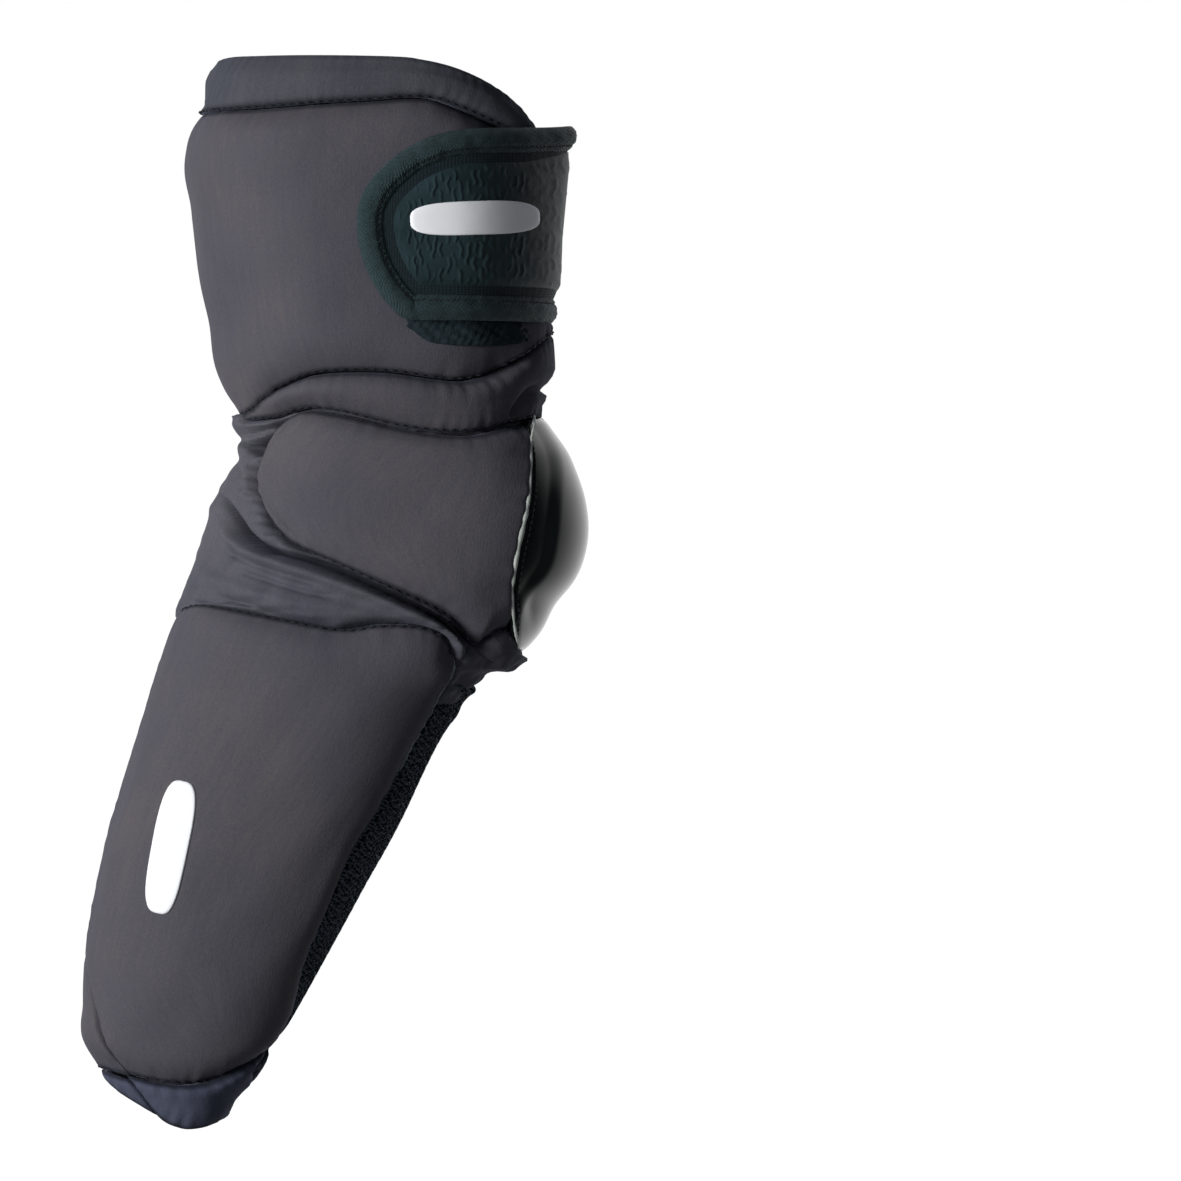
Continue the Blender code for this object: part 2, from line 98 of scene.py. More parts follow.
# ---- Outlines, seen from the outer side, (x, z) in millimetres --------------------------------
RIM_TOP = [(-67.0, -5.0), (-64.0, -3.0), (-60.5, 0.0), (-44.0, 0.2), (6.0, -0.6), (20.0, -1.9),
           (32.0, -4.4), (43.0, -8.4), (52.0, -13.2), (58.0, -17.8), (62.5, -22.8), (65.5, -27.4)]
RIM_SEAM = [(-68.5, -20.5), (-46.5, -20.0), (-20.5, -18.5), (0.0, -17.5), (15.5, -16.5), (28.0, -18.0),
            (47.5, -25.5), (57.5, -30.5), (67.0, -35.5)]
UPPER_PAD_END = [(-56.5, -139.0), (-50.0, -136.2), (-45.5, -131.6), (-40.5, -127.6), (-27.4, -123.0),
                 (-10.9, -121.8), (6.3, -122.2), (23.4, -124.3), (36.3, -125.2), (45.0, -123.5),
                 (51.5, -120.4), (57.5, -115.6), (63.0, -110.5), (67.5, -106.5)]
BAND_END = [(-57.0, -141.5), (-50.4, -140.2), (-40.5, -138.9), (-34.8, -136.9), (-27.4, -135.9),
            (-16.0, -137.2), (-3.7, -139.6), (7.8, -142.5), (20.0, -144.6), (31.0, -145.6),
            (42.0, -145.0), (51.0, -142.8), (58.0, -140.6), (67.5, -138.0)]
WING_TOP = [(62.0, -142.0), (52.0, -143.8), (42.0, -146.0), (31.0, -146.6), (20.0, -145.6),
            (7.8, -143.4), (-3.7, -140.6), (-16.0, -138.1), (-27.4, -136.9), (-36.4, -140.4)]
WING_FRONT = [(-36.4, -140.4), (-40.5, -147.1), (-43.8, -156.1), (-45.5, -163.0), (-44.8, -169.2),
              (-41.8, -176.6), (-38.1, -182.3), (-34.0, -187.0)]
WING_BOTTOM = [(53.6, -221.5), (49.5, -222.4), (45.7, -224.6), (41.5, -227.6), (37.6, -225.2),
               (34.0, -220.4), (28.9, -215.8), (21.9, -211.8), (11.3, -207.0), (0.8, -202.5),
               (-5.3, -199.8), (-16.0, -195.2), (-27.4, -190.4), (-34.0, -187.0)]
WELT_LINE = [(65.0, -137.0), (62.2, -142.0), (60.6, -150.0), (60.6, -159.0), (59.8, -170.0),
             (57.6, -181.0), (55.6, -190.0), (54.2, -199.0), (53.4, -207.5), (53.8, -214.5),
             (54.6, -221.5), (56.0, -228.5), (57.0, -233.0)]
FORE_TOP = [(29.3, -229.5), (28.0, -225.5), (24.7, -222.6), (18.4, -220.2), (11.3, -219.4),
            (0.8, -219.4), (-15.0, -220.8), (-46.0, -215.4), (-64.0, -213.6), (-77.0, -219.0)]
FORE_BACK = [(29.3, -229.5), (29.8, -233.5), (27.6, -239.0), (23.0, -245.5), (19.6, -252.0),
             (14.0, -261.8), (6.4, -276.5), (-2.6, -292.8), (-11.4, -307.0), (-21.0, -330.0),
             (-29.3, -349.0), (-34.4, -366.0), (-39.8, -376.4), (-44.4, -384.8)]
FORE_FRONT = [(-77.0, -219.0), (-91.0, -257.5), (-101.8, -304.0), (-105.6, -320.0),
              (-109.0, -338.0), (-111.0, -350.0), (-110.5, -364.2), (-107.2, -376.4),
              (-103.4, -384.8), (-97.8, -393.0)]
FORE_END = [(-44.4, -384.8), (-50.0, -389.2), (-58.5, -393.9), (-66.0, -396.6), (-75.3, -397.2),
            (-86.6, -395.8), (-97.8, -393.0)]
FORE_CROOK_END = [(-103.0, -392.8), (-107.2, -391.8), (-110.5, -391.6)]
FLAP_TOP = [(-42.0, -385.0), (-50.0, -390.0), (-58.5, -394.6), (-66.0, -397.4), (-75.3, -398.0),
            (-86.6, -396.6), (-97.0, -394.0)]
FLAP_END = [(-47.6, -392.0), (-49.2, -399.0), (-51.8, -405.6), (-57.2, -411.0), (-64.0, -414.2),
            (-71.6, -415.3), (-77.2, -414.4), (-83.8, -411.2), (-92.0, -402.4)]
INNER_FLAP_TOP = [(-42.0, -385.0), (-50.0, -390.0), (-58.5, -394.6), (-66.0, -397.4),
                  (-75.3, -398.4), (-86.6, -397.6), (-98.0, -395.4), (-108.5, -392.8)]
INNER_FLAP_END = [(-50.0, -397.0), (-57.0, -404.0), (-66.0, -409.5), (-76.0, -411.4), (-84.7, -409.9),
                  (-90.8, -406.8), (-96.2, -403.2), (-101.6, -399.2), (-106.6, -394.2)]
FLAP_FRONT = [(-97.8, -393.3), (-93.1, -398.9), (-88.4, -405.4), (-84.7, -409.9)]
# How far the pads stand out at the crook side of the forearm, by height: (z, millimetres).
FORE_BULGE = [(-400.0, 1.5), (-393.0, 2.4), (-390.5, 4.8), (-386.0, 6.4), (-381.0, 5.0), (-376.0, 2.4),
              (-369.0, 0.0), (-362.0, 0.8), (-351.0, 2.6), (-340.0, 3.7), (-320.0, 4.3), (-300.0, 4.2),
              (-290.0, 3.4), (-272.0, 2.8), (-255.0, 3.0), (-240.0, 3.9), (-217.0, 4.8)]

CAP_DOME = [(64.5, -134.0), (65.5, -141.0), (67.5, -147.7), (69.6, -158.0), (69.6, -166.0),
            (68.4, -181.0), (66.0, -195.4), (60.3, -204.4), (54.0, -214.0), (48.0, -226.0),
            (44.0, -238.0)]

# ---- Folds of the thin fabric, outer-side view: (points, half width, height), valleys < 0 -----
GUSSET_FOLDS = [
    ([(-62.0, -139.0), (-52.0, -141.4), (-46.0, -142.4), (-41.0, -141.4), (-36.0, -139.0)], 2.3, 2.8),
    ([(-60.0, -144.6), (-50.0, -145.7), (-45.6, -145.2), (-41.3, -143.5), (-36.9, -141.3)], 0.9, -2.8),
    ([(-60.0, -146.6), (-50.0, -147.6), (-45.0, -147.0), (-41.0, -145.2), (-37.5, -142.4)], 1.4, 3.0),
    ([(-58.0, -147.4), (-51.5, -149.9), (-48.5, -150.9), (-45.6, -149.8), (-41.2, -147.0),
      (-37.6, -142.8)], 1.4, -9.0),
    ([(-51.0, -150.4), (-48.6, -152.2), (-46.4, -153.4)], 1.7, -6.0),
    ([(-60.0, -149.6), (-53.4, -151.4), (-51.9, -155.5), (-51.1, -159.8), (-49.8, -164.0),
      (-49.2, -170.0)], 2.1, 3.4),
    ([(-47.8, -153.6), (-46.3, -155.6), (-45.8, -158.6)], 1.1, 2.4),
    ([(-55.4, -155.4), (-53.4, -159.0), (-52.2, -163.0), (-52.4, -168.0)], 1.3, -2.4),
    ([(-44.4, -150.6), (-46.6, -156.5), (-47.0, -161.5), (-46.5, -166.4), (-45.2, -172.4),
      (-42.2, -178.4), (-38.0, -184.4)], 1.4, -5.0),
    ([(-66.0, -167.0), (-60.6, -168.8), (-58.2, -172.6), (-56.0, -177.4), (-53.0, -182.2),
      (-46.3, -187.6), (-38.9, -191.2), (-27.4, -194.2), (-16.0, -198.2), (-3.7, -203.6),
      (10.0, -209.8), (21.9, -215.2), (29.5, -220.2), (34.8, -226.0), (38.6, -231.0)], 1.35, -9.5),
    ([(-30.0, -191.6), (-16.0, -196.8), (-3.7, -201.8), (11.3, -208.6), (21.9, -213.6),
      (30.0, -219.0), (36.5, -226.4)], 1.3, -5.0),
    ([(-70.0, -174.0), (-64.0, -178.0), (-56.5, -186.0), (-46.0, -192.4), (-34.0, -196.8),
      (-17.6, -202.2), (0.8, -208.8), (12.1, -213.8), (21.9, -218.6), (29.6, -223.8),
      (33.2, -229.0), (31.8, -235.0)], 2.6, 3.8),
    ([(-60.0, -190.0), (-52.0, -194.0), (-38.0, -199.4), (-20.0, -204.4)], 0.9, -2.0),
    ([(-54.0, -198.0), (-44.0, -201.6), (-27.3, -206.6), (-14.0, -209.0)], 0.9, -2.0),
    ([(-72.0, -198.0), (-56.0, -204.5), (-34.0, -210.6), (-10.0, -214.2), (6.0, -215.4)], 3.2, 2.2),
    ([(-64.0, -207.6), (-47.3, -212.2), (-32.0, -216.9), (-14.0, -218.6)], 1.2, -2.6),
    ([(39.4, -227.6), (34.6, -231.0), (31.6, -235.6)], 1.2, -2.4),
    ([(58.0, -226.0), (52.0, -232.0), (47.0, -239.0)], 5.0, 4.0),
    ([(46.5, -226.0), (43.6, -233.0), (40.0, -240.0)], 1.4, -1.6),
]
# Depth of the crook's outline by height: (z, depth), negative stands out from the sleeve.
CROOK_EDGE = [(-228.0, -4.6), (-210.0, -5.1), (-198.0, -4.7), (-181.0, -4.2), (-177.8, -4.2),
              (-174.6, -4.8), (-171.4, -3.9), (-165.3, -3.0), (-159.3, -1.8), (-155.5, -0.3),
              (-152.4, -0.9), (-149.4, -1.2), (-147.2, -0.3), (-144.5, -2.4), (-141.3, -3.4),
              (-138.5, -2.9), (-136.1, -0.6), (-134.0, 0.6)]

# ---- Strap -----------------------------------------------------------------------------------
STRAP_TOP = -28.0
STRAP_BOTTOM = -102.0
STRAP_HEIGHT = STRAP_TOP - STRAP_BOTTOM
STRAP_FACE = -4.9          # depth of the webbing's outer face, and of the other layers
STRAP_BACK = -3.3
GRIP_BASE = -4.2
TAPE_BASE = -3.4
HOOK_BACK = -3.1
HOOK_FACE = -2.4
STRAP_HEM = 7.0
TAB_OUTLINE = [(66.0, -25.4), (60.0, -27.0), (54.0, -27.9), (44.0, -28.4), (33.0, -29.2), (23.5, -31.2),
               (15.0, -34.8), (8.0, -39.4), (1.8, -45.2), (-2.6, -51.0), (-5.3, -57.5),
               (-6.2, -64.5), (-5.6, -72.5), (-3.4, -81.0), (0.3, -89.0), (5.2, -96.2),
               (11.0, -101.4), (18.0, -102.0), (30.0, -102.0), (44.0, -102.0), (56.0, -102.0),
               (66.0, -102.0)]
STRAP_ANCHOR_ANGLE = -112.0
FOLD_START_X = 56.0        # from here the tab runs back to the fold behind the arm
FOLD_RUN = 12.0
FOLD_TOP_X = 74.6
FOLD_BOTTOM_X = 67.6
BINDING = 10.0             # width of the tape that binds the tab
FIELD_TOP = -44.0
STRAP_PRESS = 3.0          # how far the strap presses into the pads

# ---- Light and camera --------------------------------------------------------------------------

AMBIENT = 0.06
AMBIENT_TINT = (0.78, 0.93, 1.12)
KEY_POWER = 49.0
FRONT_POWER = 2.0
BACK_POWER = 11.0
LIGHT_TARGET = (-0.02, 0.0, -0.21)
CAMERA_LENS = 300.0
CAMERA_SENSOR = 36.0
VIEW_WIDTH = 0.4606        # metres across the picture at the middle of the sleeve
VIEW_X = 0.0829
VIEW_Z = -0.2061
FLOOR_SIZE = 60.0
FLOOR_GAP = 0.05

# ---- Fabric details, millimetres ---------------------------------------------------------------
MESH_CELL = 3.3
MESH_SPACING = 0.62
PAD_GRID = 1.6             # spacing of the big pads' grids, of the elbow roll's and of the rest
ROLL_GRID = 1.4
EDGE_GRID = 1.3
SMALL_GRID = 1.1
STITCH_PITCH = 3.9
STITCH_LENGTH = 2.5
STITCH_RADIUS = 0.36
FINE_STITCH = (2.4, 1.7, 0.22)     # pitch, length and radius on the binding
CAP_STITCH = (2.5, 1.7, 0.42)      # and on the cap's flange
SEAM_INSET = 0.7
NARROW_INSET = 0.6
THINNEST = 0.35            # least thickness of a padded piece at its edges
RUN_STEP = 500.0           # added to the arc length for each further side of a panel
# Near-black colour that the knit is mixed towards for painted shade in its seams and folds.
PAINTED_SHADE_COLOUR = (0.008, 0.009, 0.013, 1.0)


# ---- Geometry of the sleeve --------------------------------------------------------------------

def ease(t):
    """Smooth step from 0 to 1."""
    t = np.clip(t, 0.0, 1.0)
    return t * t * (3.0 - 2.0 * t)


def spline(values, t):
    """Catmull-Rom curve through values, whole numbers of t land on them."""
    values = np.asarray(values, float)
    t = np.asarray(t, float)
    first = 2.0 * values[:1] - values[1:2]
    final = 2.0 * values[-1:] - values[-2:-1]
    padded = np.concatenate((first, values, final))
    i = np.clip(np.floor(t).astype(int), 0, len(values) - 2)
    f = (t - i)[..., None]
    p0, p1, p2, p3 = padded[i], padded[i + 1], padded[i + 2], padded[i + 3]
    square = (2.0 * p0 - 5.0 * p1 + 4.0 * p2 - p3) * f * f
    cube = (3.0 * p1 - p0 - 3.0 * p2 + p3) * f ** 3
    return 0.5 * (2.0 * p1 + (p2 - p0) * f + square + cube)


def sleeve(station, angle, depth):
    """Points on the sleeve in millimetres, depth inside its outer surface."""
    station, angle, depth = np.broadcast_arrays(station, angle, depth)
    row = spline(STATIONS, station)
    centre = (row[..., 0:2] + row[..., 2:4]) / 2.0
    run = row[..., 2:4] - centre
    half = np.linalg.norm(run, axis=-1)
    cos = np.cos(np.radians(angle))
    sin = np.sin(np.radians(angle))
    power = 2.0 / ROUNDNESS
    reach = np.sign(cos) * np.abs(cos) ** power * (half - depth) / half
    y = -np.sign(sin) * np.abs(sin) ** power * (row[..., 4] - depth)
    flat = centre + run * reach[..., None]
    return np.stack((flat[..., 0], y, flat[..., 1]), axis=-1)


def locate(x, z, depth=0.0):
    """Station and angle of the outer-side points seen at (x, z), depth inside the sleeve."""
    x = np.asarray(x, float)
    z = np.asarray(z, float)

    def above(station):
        row = spline(STATIONS, station)
        run = row[..., 2:4] - row[..., 0:2]
        return run[..., 0] * (z - row[..., 1]) - run[..., 1] * (x - row[..., 0])

    low = np.full(x.shape, -0.5)
    found = np.zeros(x.shape, bool)
    for step in np.arange(-0.25, 18.75, 0.25):
        passed = (above(np.full(x.shape, step)) >= 0.0) & ~found
        low = np.where(passed, step - 0.25, low)
        found |= passed
    low = np.where(found, low, 18.25)
    high = low + 0.25
    for _ in range(22):
        middle = (low + high) / 2.0
        below = above(middle) < 0.0
        low = np.where(below, middle, low)
        high = np.where(below, high, middle)
    row = spline(STATIONS, low)
    centre = (row[..., 0:2] + row[..., 2:4]) / 2.0
    run = row[..., 2:4] - centre
    share = ((x - centre[..., 0]) * run[..., 0] + (z - centre[..., 1]) * run[..., 1])
    half = np.linalg.norm(run, axis=-1)
    share = np.clip(share / (half * (half - depth)), -1.0, 1.0)
    cos = np.sign(share) * np.abs(share) ** (ROUNDNESS / 2.0)
    return low, np.degrees(np.arccos(cos))


def run_lengths(points):
    """Arc length from the start of a polyline to each of its points."""
    return np.concatenate(([0.0], np.cumsum(np.linalg.norm(np.diff(points, axis=0), axis=1))))


def path_length(points):
    """Length of a polyline."""
    return np.linalg.norm(np.diff(points, axis=0), axis=1).sum()


def outline_at(outline, t):
    """Points at even arc length t along an outline."""
    points = np.array(outline, float)
    lengths = run_lengths(points)
    lengths /= lengths[-1]
    index = np.interp(np.clip(t, 0.0, 1.0), lengths, np.arange(len(points)))
    return spline(points, index)


def edge(outline, inner_side=False, depth=0.0):
    """Curve t -> (station, angle) along an outline of side-view points seen at a depth."""
    samples = np.linspace(0.0, 1.0, 121)
    flat = outline_at(outline, samples)
    station, angle = locate(flat[:, 0], flat[:, 1], depth(flat[:, 0]) if callable(depth) else depth)
    if inner_side:
        angle = -angle

    def at(t):
        return np.stack((np.interp(t, samples, station), np.interp(t, samples, angle)), axis=-1)

    return at


def round_to(curve, target):
    """The same edge with its front end carried on round the sleeve to another angle."""
    last = curve(np.array(1.0))[1]

    def at(t):
        spot = curve(t)
        return spot + np.stack((0.0 * t, (target - last) * ease((t - 0.5) / 0.5)), -1)

    return at


def wrapped_edge(outline, beyond, depth, share=0.7):
    """Edge on the inner side, carried on round the crook along the outer-side points beyond."""
    inner = edge(outline, True, depth)
    outer = edge(beyond, False, depth)
    samples = np.linspace(0.0, 1.0, 201)
    far = outer((samples - share) / (1.0 - share)) - np.array((0.0, 360.0))
    spots = np.where(samples[:, None] < share, inner(samples / share), far)
    reach = 20
    wide = np.pad(spots, ((reach, reach), (0, 0)), "reflect", reflect_type="odd")
    kernel = np.full(2 * reach + 1, 1.0 / (2 * reach + 1))
    smooth = [np.convolve(column, kernel, "valid") for column in wide.T]

    def at(t):
        return np.stack([np.interp(t, samples, column) for column in smooth], -1)

    return at


def patch(top, back, bottom, front):
    """Map (u, v) to the sleeve inside four edges: u runs back to front, v top to bottom."""
    def at(u, v):
        zero = np.zeros_like(u)
        one = np.ones_like(u)
        uu = u[..., None]
        vv = v[..., None]
        sides = (1 - vv) * top(u) + vv * bottom(u) + (1 - uu) * back(v) + uu * front(v)
        corners = (1 - uu) * (1 - vv) * top(zero) + uu * (1 - vv) * top(one)
        corners = corners + (1 - uu) * vv * bottom(zero) + uu * vv * bottom(one)
        return sides - corners

    return at


def ring_edge(outline, lift=0.0):
    """Station as a function of the angle all round; lift raises the inner side, in stations."""
    flat = outline_at(outline, np.linspace(0.0, 1.0, 161))
    station, angle = locate(flat[:, 0], flat[:, 1])
    order = np.argsort(angle)
    angle = angle[order]
    station = station[order]

    def at(turn):
        turn = np.asarray(turn, float)
        folded = (turn + 180.0) % 360.0 - 180.0
        inner = ease((-62.0 - folded) / 50.0) * ease((180.0 + folded) / 12.0)
        return np.interp(np.abs(folded), angle, station) - lift * np.where(folded < 0.0, inner, 0.0)

    return at


def ring(top, bottom, first=0.0, last=360.0):
    """Map (u, v) to a band between two ring edges."""
    def at(u, v):
        angle = first + (last - first) * u
        return np.stack(((1.0 - v) * top(angle) + v * bottom(angle), angle), axis=-1)

    return at


def under(points, line):
    """From 0 to 1 where outer-side points pass to the right of a line that runs downwards."""
    heights = -np.array(line)[:, 1]
    across = np.interp(-points[..., 2], heights, np.array(line)[:, 0])
    return ease((points[..., 0] - across + 1.6) / 2.8) * ease(-points[..., 1] / 3.0)


def pad_depth(station):
    """Depth of the inner face of the pads at a station."""
    return PAD + (WRIST_PAD - PAD) * ease((station - 12.0) / 5.0)


# ---- Relief: folds, puckers and noise, millimetres outwards -----------------------------------

def waves(seed, wavelengths, amplitudes):
    """Smooth repeatable noise over 3-D points from a few tilted sine waves for each wavelength."""
    draw = np.random.default_rng(seed)
    terms = []
    for wavelength, amplitude in zip(wavelengths, amplitudes):
        for _ in range(4):
            direction = draw.normal(size=3)
            direction /= np.linalg.norm(direction)
            terms.append((direction * 2.0 * math.pi / (wavelength * draw.uniform(0.75, 1.35)),
                          draw.uniform(0.0, 2.0 * math.pi), amplitude / 2.0))

    def at(points):
        total = np.zeros(points.shape[:-1])
        for direction, phase, amplitude in terms:
            total = total + amplitude * np.sin(points @ direction + phase)
        return total

    return at


def pucker(seed, amplitude, reach, wavelength):
    """Short gathers square to a seam that fade away from it."""
    draw = np.random.default_rng(seed)
    terms = [(wavelength * draw.uniform(0.6, 1.9), draw.uniform(0.0, 2.0 * math.pi),
              draw.uniform(0.4, 1.0)) for _ in range(6)]
    weight = sum(term[2] for term in terms) / 2.2

    def at(points, distance, along):
        total = np.zeros(distance.shape)
        for length, phase, size in terms:
            total = total + size * np.sin(2.0 * math.pi * along / length + phase)
        return amplitude * total / weight * np.exp(-distance / reach) * ease(distance / 1.2 + 0.25)

    return at


def distance_to(points, line):
    """Distance and arc length of the nearest place on a polyline, for points of any dimension."""
    flat = points.reshape(-1, points.shape[-1])
    start = line[:-1]
    run = line[1:] - start
    square = np.maximum((run ** 2).sum(-1), 1e-9)
    lengths = np.concatenate(([0.0], np.cumsum(np.sqrt(square))))
    best = np.full(len(flat), np.inf)
    along = np.zeros(len(flat))
    for i in range(len(start)):
        t = np.clip(((flat - start[i]) @ run[i]) / square[i], 0.0, 1.0)
        gap = flat - start[i] - t[:, None] * run[i]
        distance = (gap ** 2).sum(-1)
        closer = distance < best
        best = np.where(closer, distance, best)
        along = np.where(closer, lengths[i] + t * math.sqrt(square[i]), along)
    shape = points.shape[:-1]
    return np.sqrt(best).reshape(shape), along.reshape(shape)


def folds(entries):
    """Relief of rounded ridges (height > 0) and creases (height < 0) along side-view curves."""
    lines = []
    for points, width, height in entries:
        lines.append((outline_at(points, np.linspace(0.0, 1.0, 25)), width, height))

    def at(points, distance, along):
        total = np.zeros(points.shape[:-1])
        flat = points[..., [0, 2]]
        for line, width, height in lines:
            gap, run = distance_to(flat, line)
            length = path_length(line)
            fade = ease(run / (0.18 * length) + 0.15) * ease((length - run) / (0.18 * length) + 0.15)
            power = 2.0 if height > 0.0 else 1.4
            total = total + height * fade * np.exp(-(gap / width) ** power)
        return total

    return at


# ---- Meshes ------------------------------------------------------------------------------------

def link_mesh(name, mesh):
    """Object that shows a mesh."""
    obj = bpy.data.objects.new(name, mesh)
    bpy.context.scene.collection.objects.link(obj)
    return obj


def make_object(name, points, faces, uv, painted_crease_shade=None):
    """Object from points in millimetres; the optional per-point values are painted shade, darkening the
    knit in its seams and folds.
    """
    mesh = bpy.data.meshes.new(name)
    mesh.from_pydata((np.asarray(points) * MM).tolist(), [], faces)
    if painted_crease_shade is not None:
        layer = mesh.attributes.new("painted_crease_shade", "FLOAT", "POINT")
        layer.data.foreach_set("value", np.asarray(painted_crease_shade, np.float32).ravel())
    mesh.shade_smooth()
    layer = mesh.uv_layers.new(name="UVMap")
    loops = np.zeros(len(mesh.loops), int)
    mesh.loops.foreach_get("vertex_index", loops)
    layer.data.foreach_set("uv", np.asarray(uv, float)[loops].ravel())
    bm = bmesh.new()
    bm.from_mesh(mesh)
    bmesh.ops.remove_doubles(bm, verts=bm.verts, dist=0.000002)
    bmesh.ops.recalc_face_normals(bm, faces=bm.faces)
    if bm.calc_volume(signed=True) < 0.0:
        bmesh.ops.reverse_faces(bm, faces=bm.faces)
    bm.to_mesh(mesh)
    bm.free()
    return link_mesh(name, mesh)


def shell_faces(columns, rows, closed):
    """Faces of a closed body made of an outer grid, an inner grid and the walls between them."""
    width = columns if closed else columns + 1
    layer = width * (rows + 1)
    j, i = np.meshgrid(np.arange(rows), np.arange(columns), indexing="ij")
    nxt = (i + 1) % width if closed else i + 1
    a = (j * width + i).ravel()
    b = (j * width + nxt).ravel()
    c = ((j + 1) * width + nxt).ravel()
    d = ((j + 1) * width + i).ravel()
    faces = np.concatenate((np.stack((a, b, c, d), 1), np.stack((d, c, b, a), 1) + layer)).tolist()
    for row in (0, rows):
        for column in range(columns):
            p = row * width + column
            q = row * width + (column + 1) % width if closed else p + 1
            faces.append([p, p + layer, q + layer, q])
    if not closed:
        for row in range(rows):
            for column in (0, columns):
                p = row * width + column
                faces.append([p, p + width, p + width + layer, p + layer])
    return faces


def dense_ends(count, strength=0.6):
    """Even parameter from 0 to 1 with finer steps at both ends."""
    t = np.arange(count + 1) / count
    return t - strength * np.sin(2.0 * math.pi * t) / (2.0 * math.pi)


def grid(columns, rows, closed=False):
    """Even u and v over a grid; a closed one doesn't repeat its first column."""
    across = np.arange(columns if closed else columns + 1) / columns
    v, u = np.meshgrid(np.arange(rows + 1) / rows, across, indexing="ij")
    return u, v


def shell(name, spot, outer, inner, uv, material, closed=False, dark=None):
    """Closed body between two depths of a grid of sleeve positions, with uv in millimetres."""
    outside = sleeve(spot[..., 0], spot[..., 1], outer).reshape(-1, 3)
    inside = sleeve(spot[..., 0], spot[..., 1], inner).reshape(-1, 3)
    rows = spot.shape[0] - 1
    columns = spot.shape[1] - (0 if closed else 1)
    uv = np.stack(uv, -1).reshape(-1, 2) * MM
    # Painted shade for each grid point, the same on the outer and the inner face.
    painted_crease_shade = None if dark is None else np.concatenate((dark.ravel(), dark.ravel()))
    obj = make_object(name, np.concatenate((outside, inside)), shell_faces(columns, rows, closed),
                      np.concatenate((uv, uv)), painted_crease_shade)
    obj.data.materials.append(material)
    return obj


class Panel:
    """A piece laid on the sleeve: its map, the rounding towards its edges and its outer surface.

    The surface falls by drop towards the top, front, bottom and back edge. For each of them, widths
    says how far in the fall starts and shares how much of it there is. A firm edge falls in a round
    arc, a soft one in a long slope.
    """

    def __init__(self, place, closed=False, drop=6.0, widths=(14.0, 14.0, 14.0, 14.0), relief=(),
                 firm=0.35, shares=(1.0, 1.0, 1.0, 1.0), scale=None):
        self.place = place
        self.scale = scale
        self.closed = closed
        self.drop = drop
        self.relief = relief
        self.firm = firm
        t = np.linspace(0.0, 1.0, 121)
        sides = ((t, 0.0 * t), (0.0 * t + 1.0, t), (1.0 - t, 0.0 * t + 1.0), (0.0 * t, 1.0 - t))
        self.runs = []
        for (u, v), width, share in zip(sides, widths, shares):
            if width:
                self.runs.append((self.base(u, v), width, share))
        thirds = (0.02, 0.25, 0.5, 0.75, 0.98)
        self.length = max(path_length(self.base(t, 0.0 * t + share)) for share in thirds)
        self.height = max(path_length(self.base(0.0 * t + share, t)) for share in thirds)

    def base(self, u, v):
        spot = self.place(u, v)
        return sleeve(spot[..., 0], spot[..., 1], 0.0)

    def depth_at(self, points):
        """Depth of the outer surface at points of the bare sleeve."""
        best = np.full(points.shape[:-1], np.inf)
        along = np.zeros(points.shape[:-1])
        full = np.ones(points.shape[:-1])
        for number, (run, width, share) in enumerate(self.runs):
            gap, place = distance_to(points, run)
            closer = gap < best
            best = np.where(closer, gap, best)
            along = np.where(closer, place + RUN_STEP * number, along)
            rest = 1.0 - np.clip(gap / width, 0.0, 1.0)
            round_edge = 1.0 - np.sqrt(np.maximum(0.0, 1.0 - rest ** 2))
            full = full * (1.0 - share * (self.firm * round_edge + (1.0 - self.firm) * rest ** 2.2))
        depth = self.drop * (1.0 - full)
        if self.scale:
            depth = depth * self.scale(points)
        for relief in self.relief:
            depth = depth - relief(points, best, along)
        return depth

    def depth(self, u, v):
        return self.depth_at(self.base(u, v))

    def surface(self, u, v, lift=0.0):
        """Points lift millimetres above the outer surface."""
        spot = self.place(u, v)
        return sleeve(spot[..., 0], spot[..., 1], self.depth(u, v) - lift)

    def build(self, name, spacing, back, material):
        """Closed body down to the back depth, with UVs in metres along the grid and painted shade along its
        seamed edges.
        """
        columns = max(6, int(self.length / spacing))
        rows = max(4, int(self.height / spacing))
        across = np.arange(columns) / columns if self.closed else dense_ends(columns)
        v, u = np.meshgrid(dense_ends(rows), across, indexing="ij")
        spot = self.place(u, v)
        depth = self.depth(u, v)
        inner = np.maximum(back(u, v, spot) if callable(back) else back, depth + THINNEST)
        # Painted shade: darkest at the panel's firm seamed edges, fading out about 2.3 mm in.
        near = [distance_to(self.base(u, v), run)[0] for run, width, share in self.runs if share > 0.9]
        dark = 0.8 * (1.0 - ease((np.min(near, axis=0) - 0.3) / 2.0)) if near else 0.0 * u
        return shell(name, spot, depth, inner, (u * self.length, -v * self.height), material,
                     self.closed, dark)


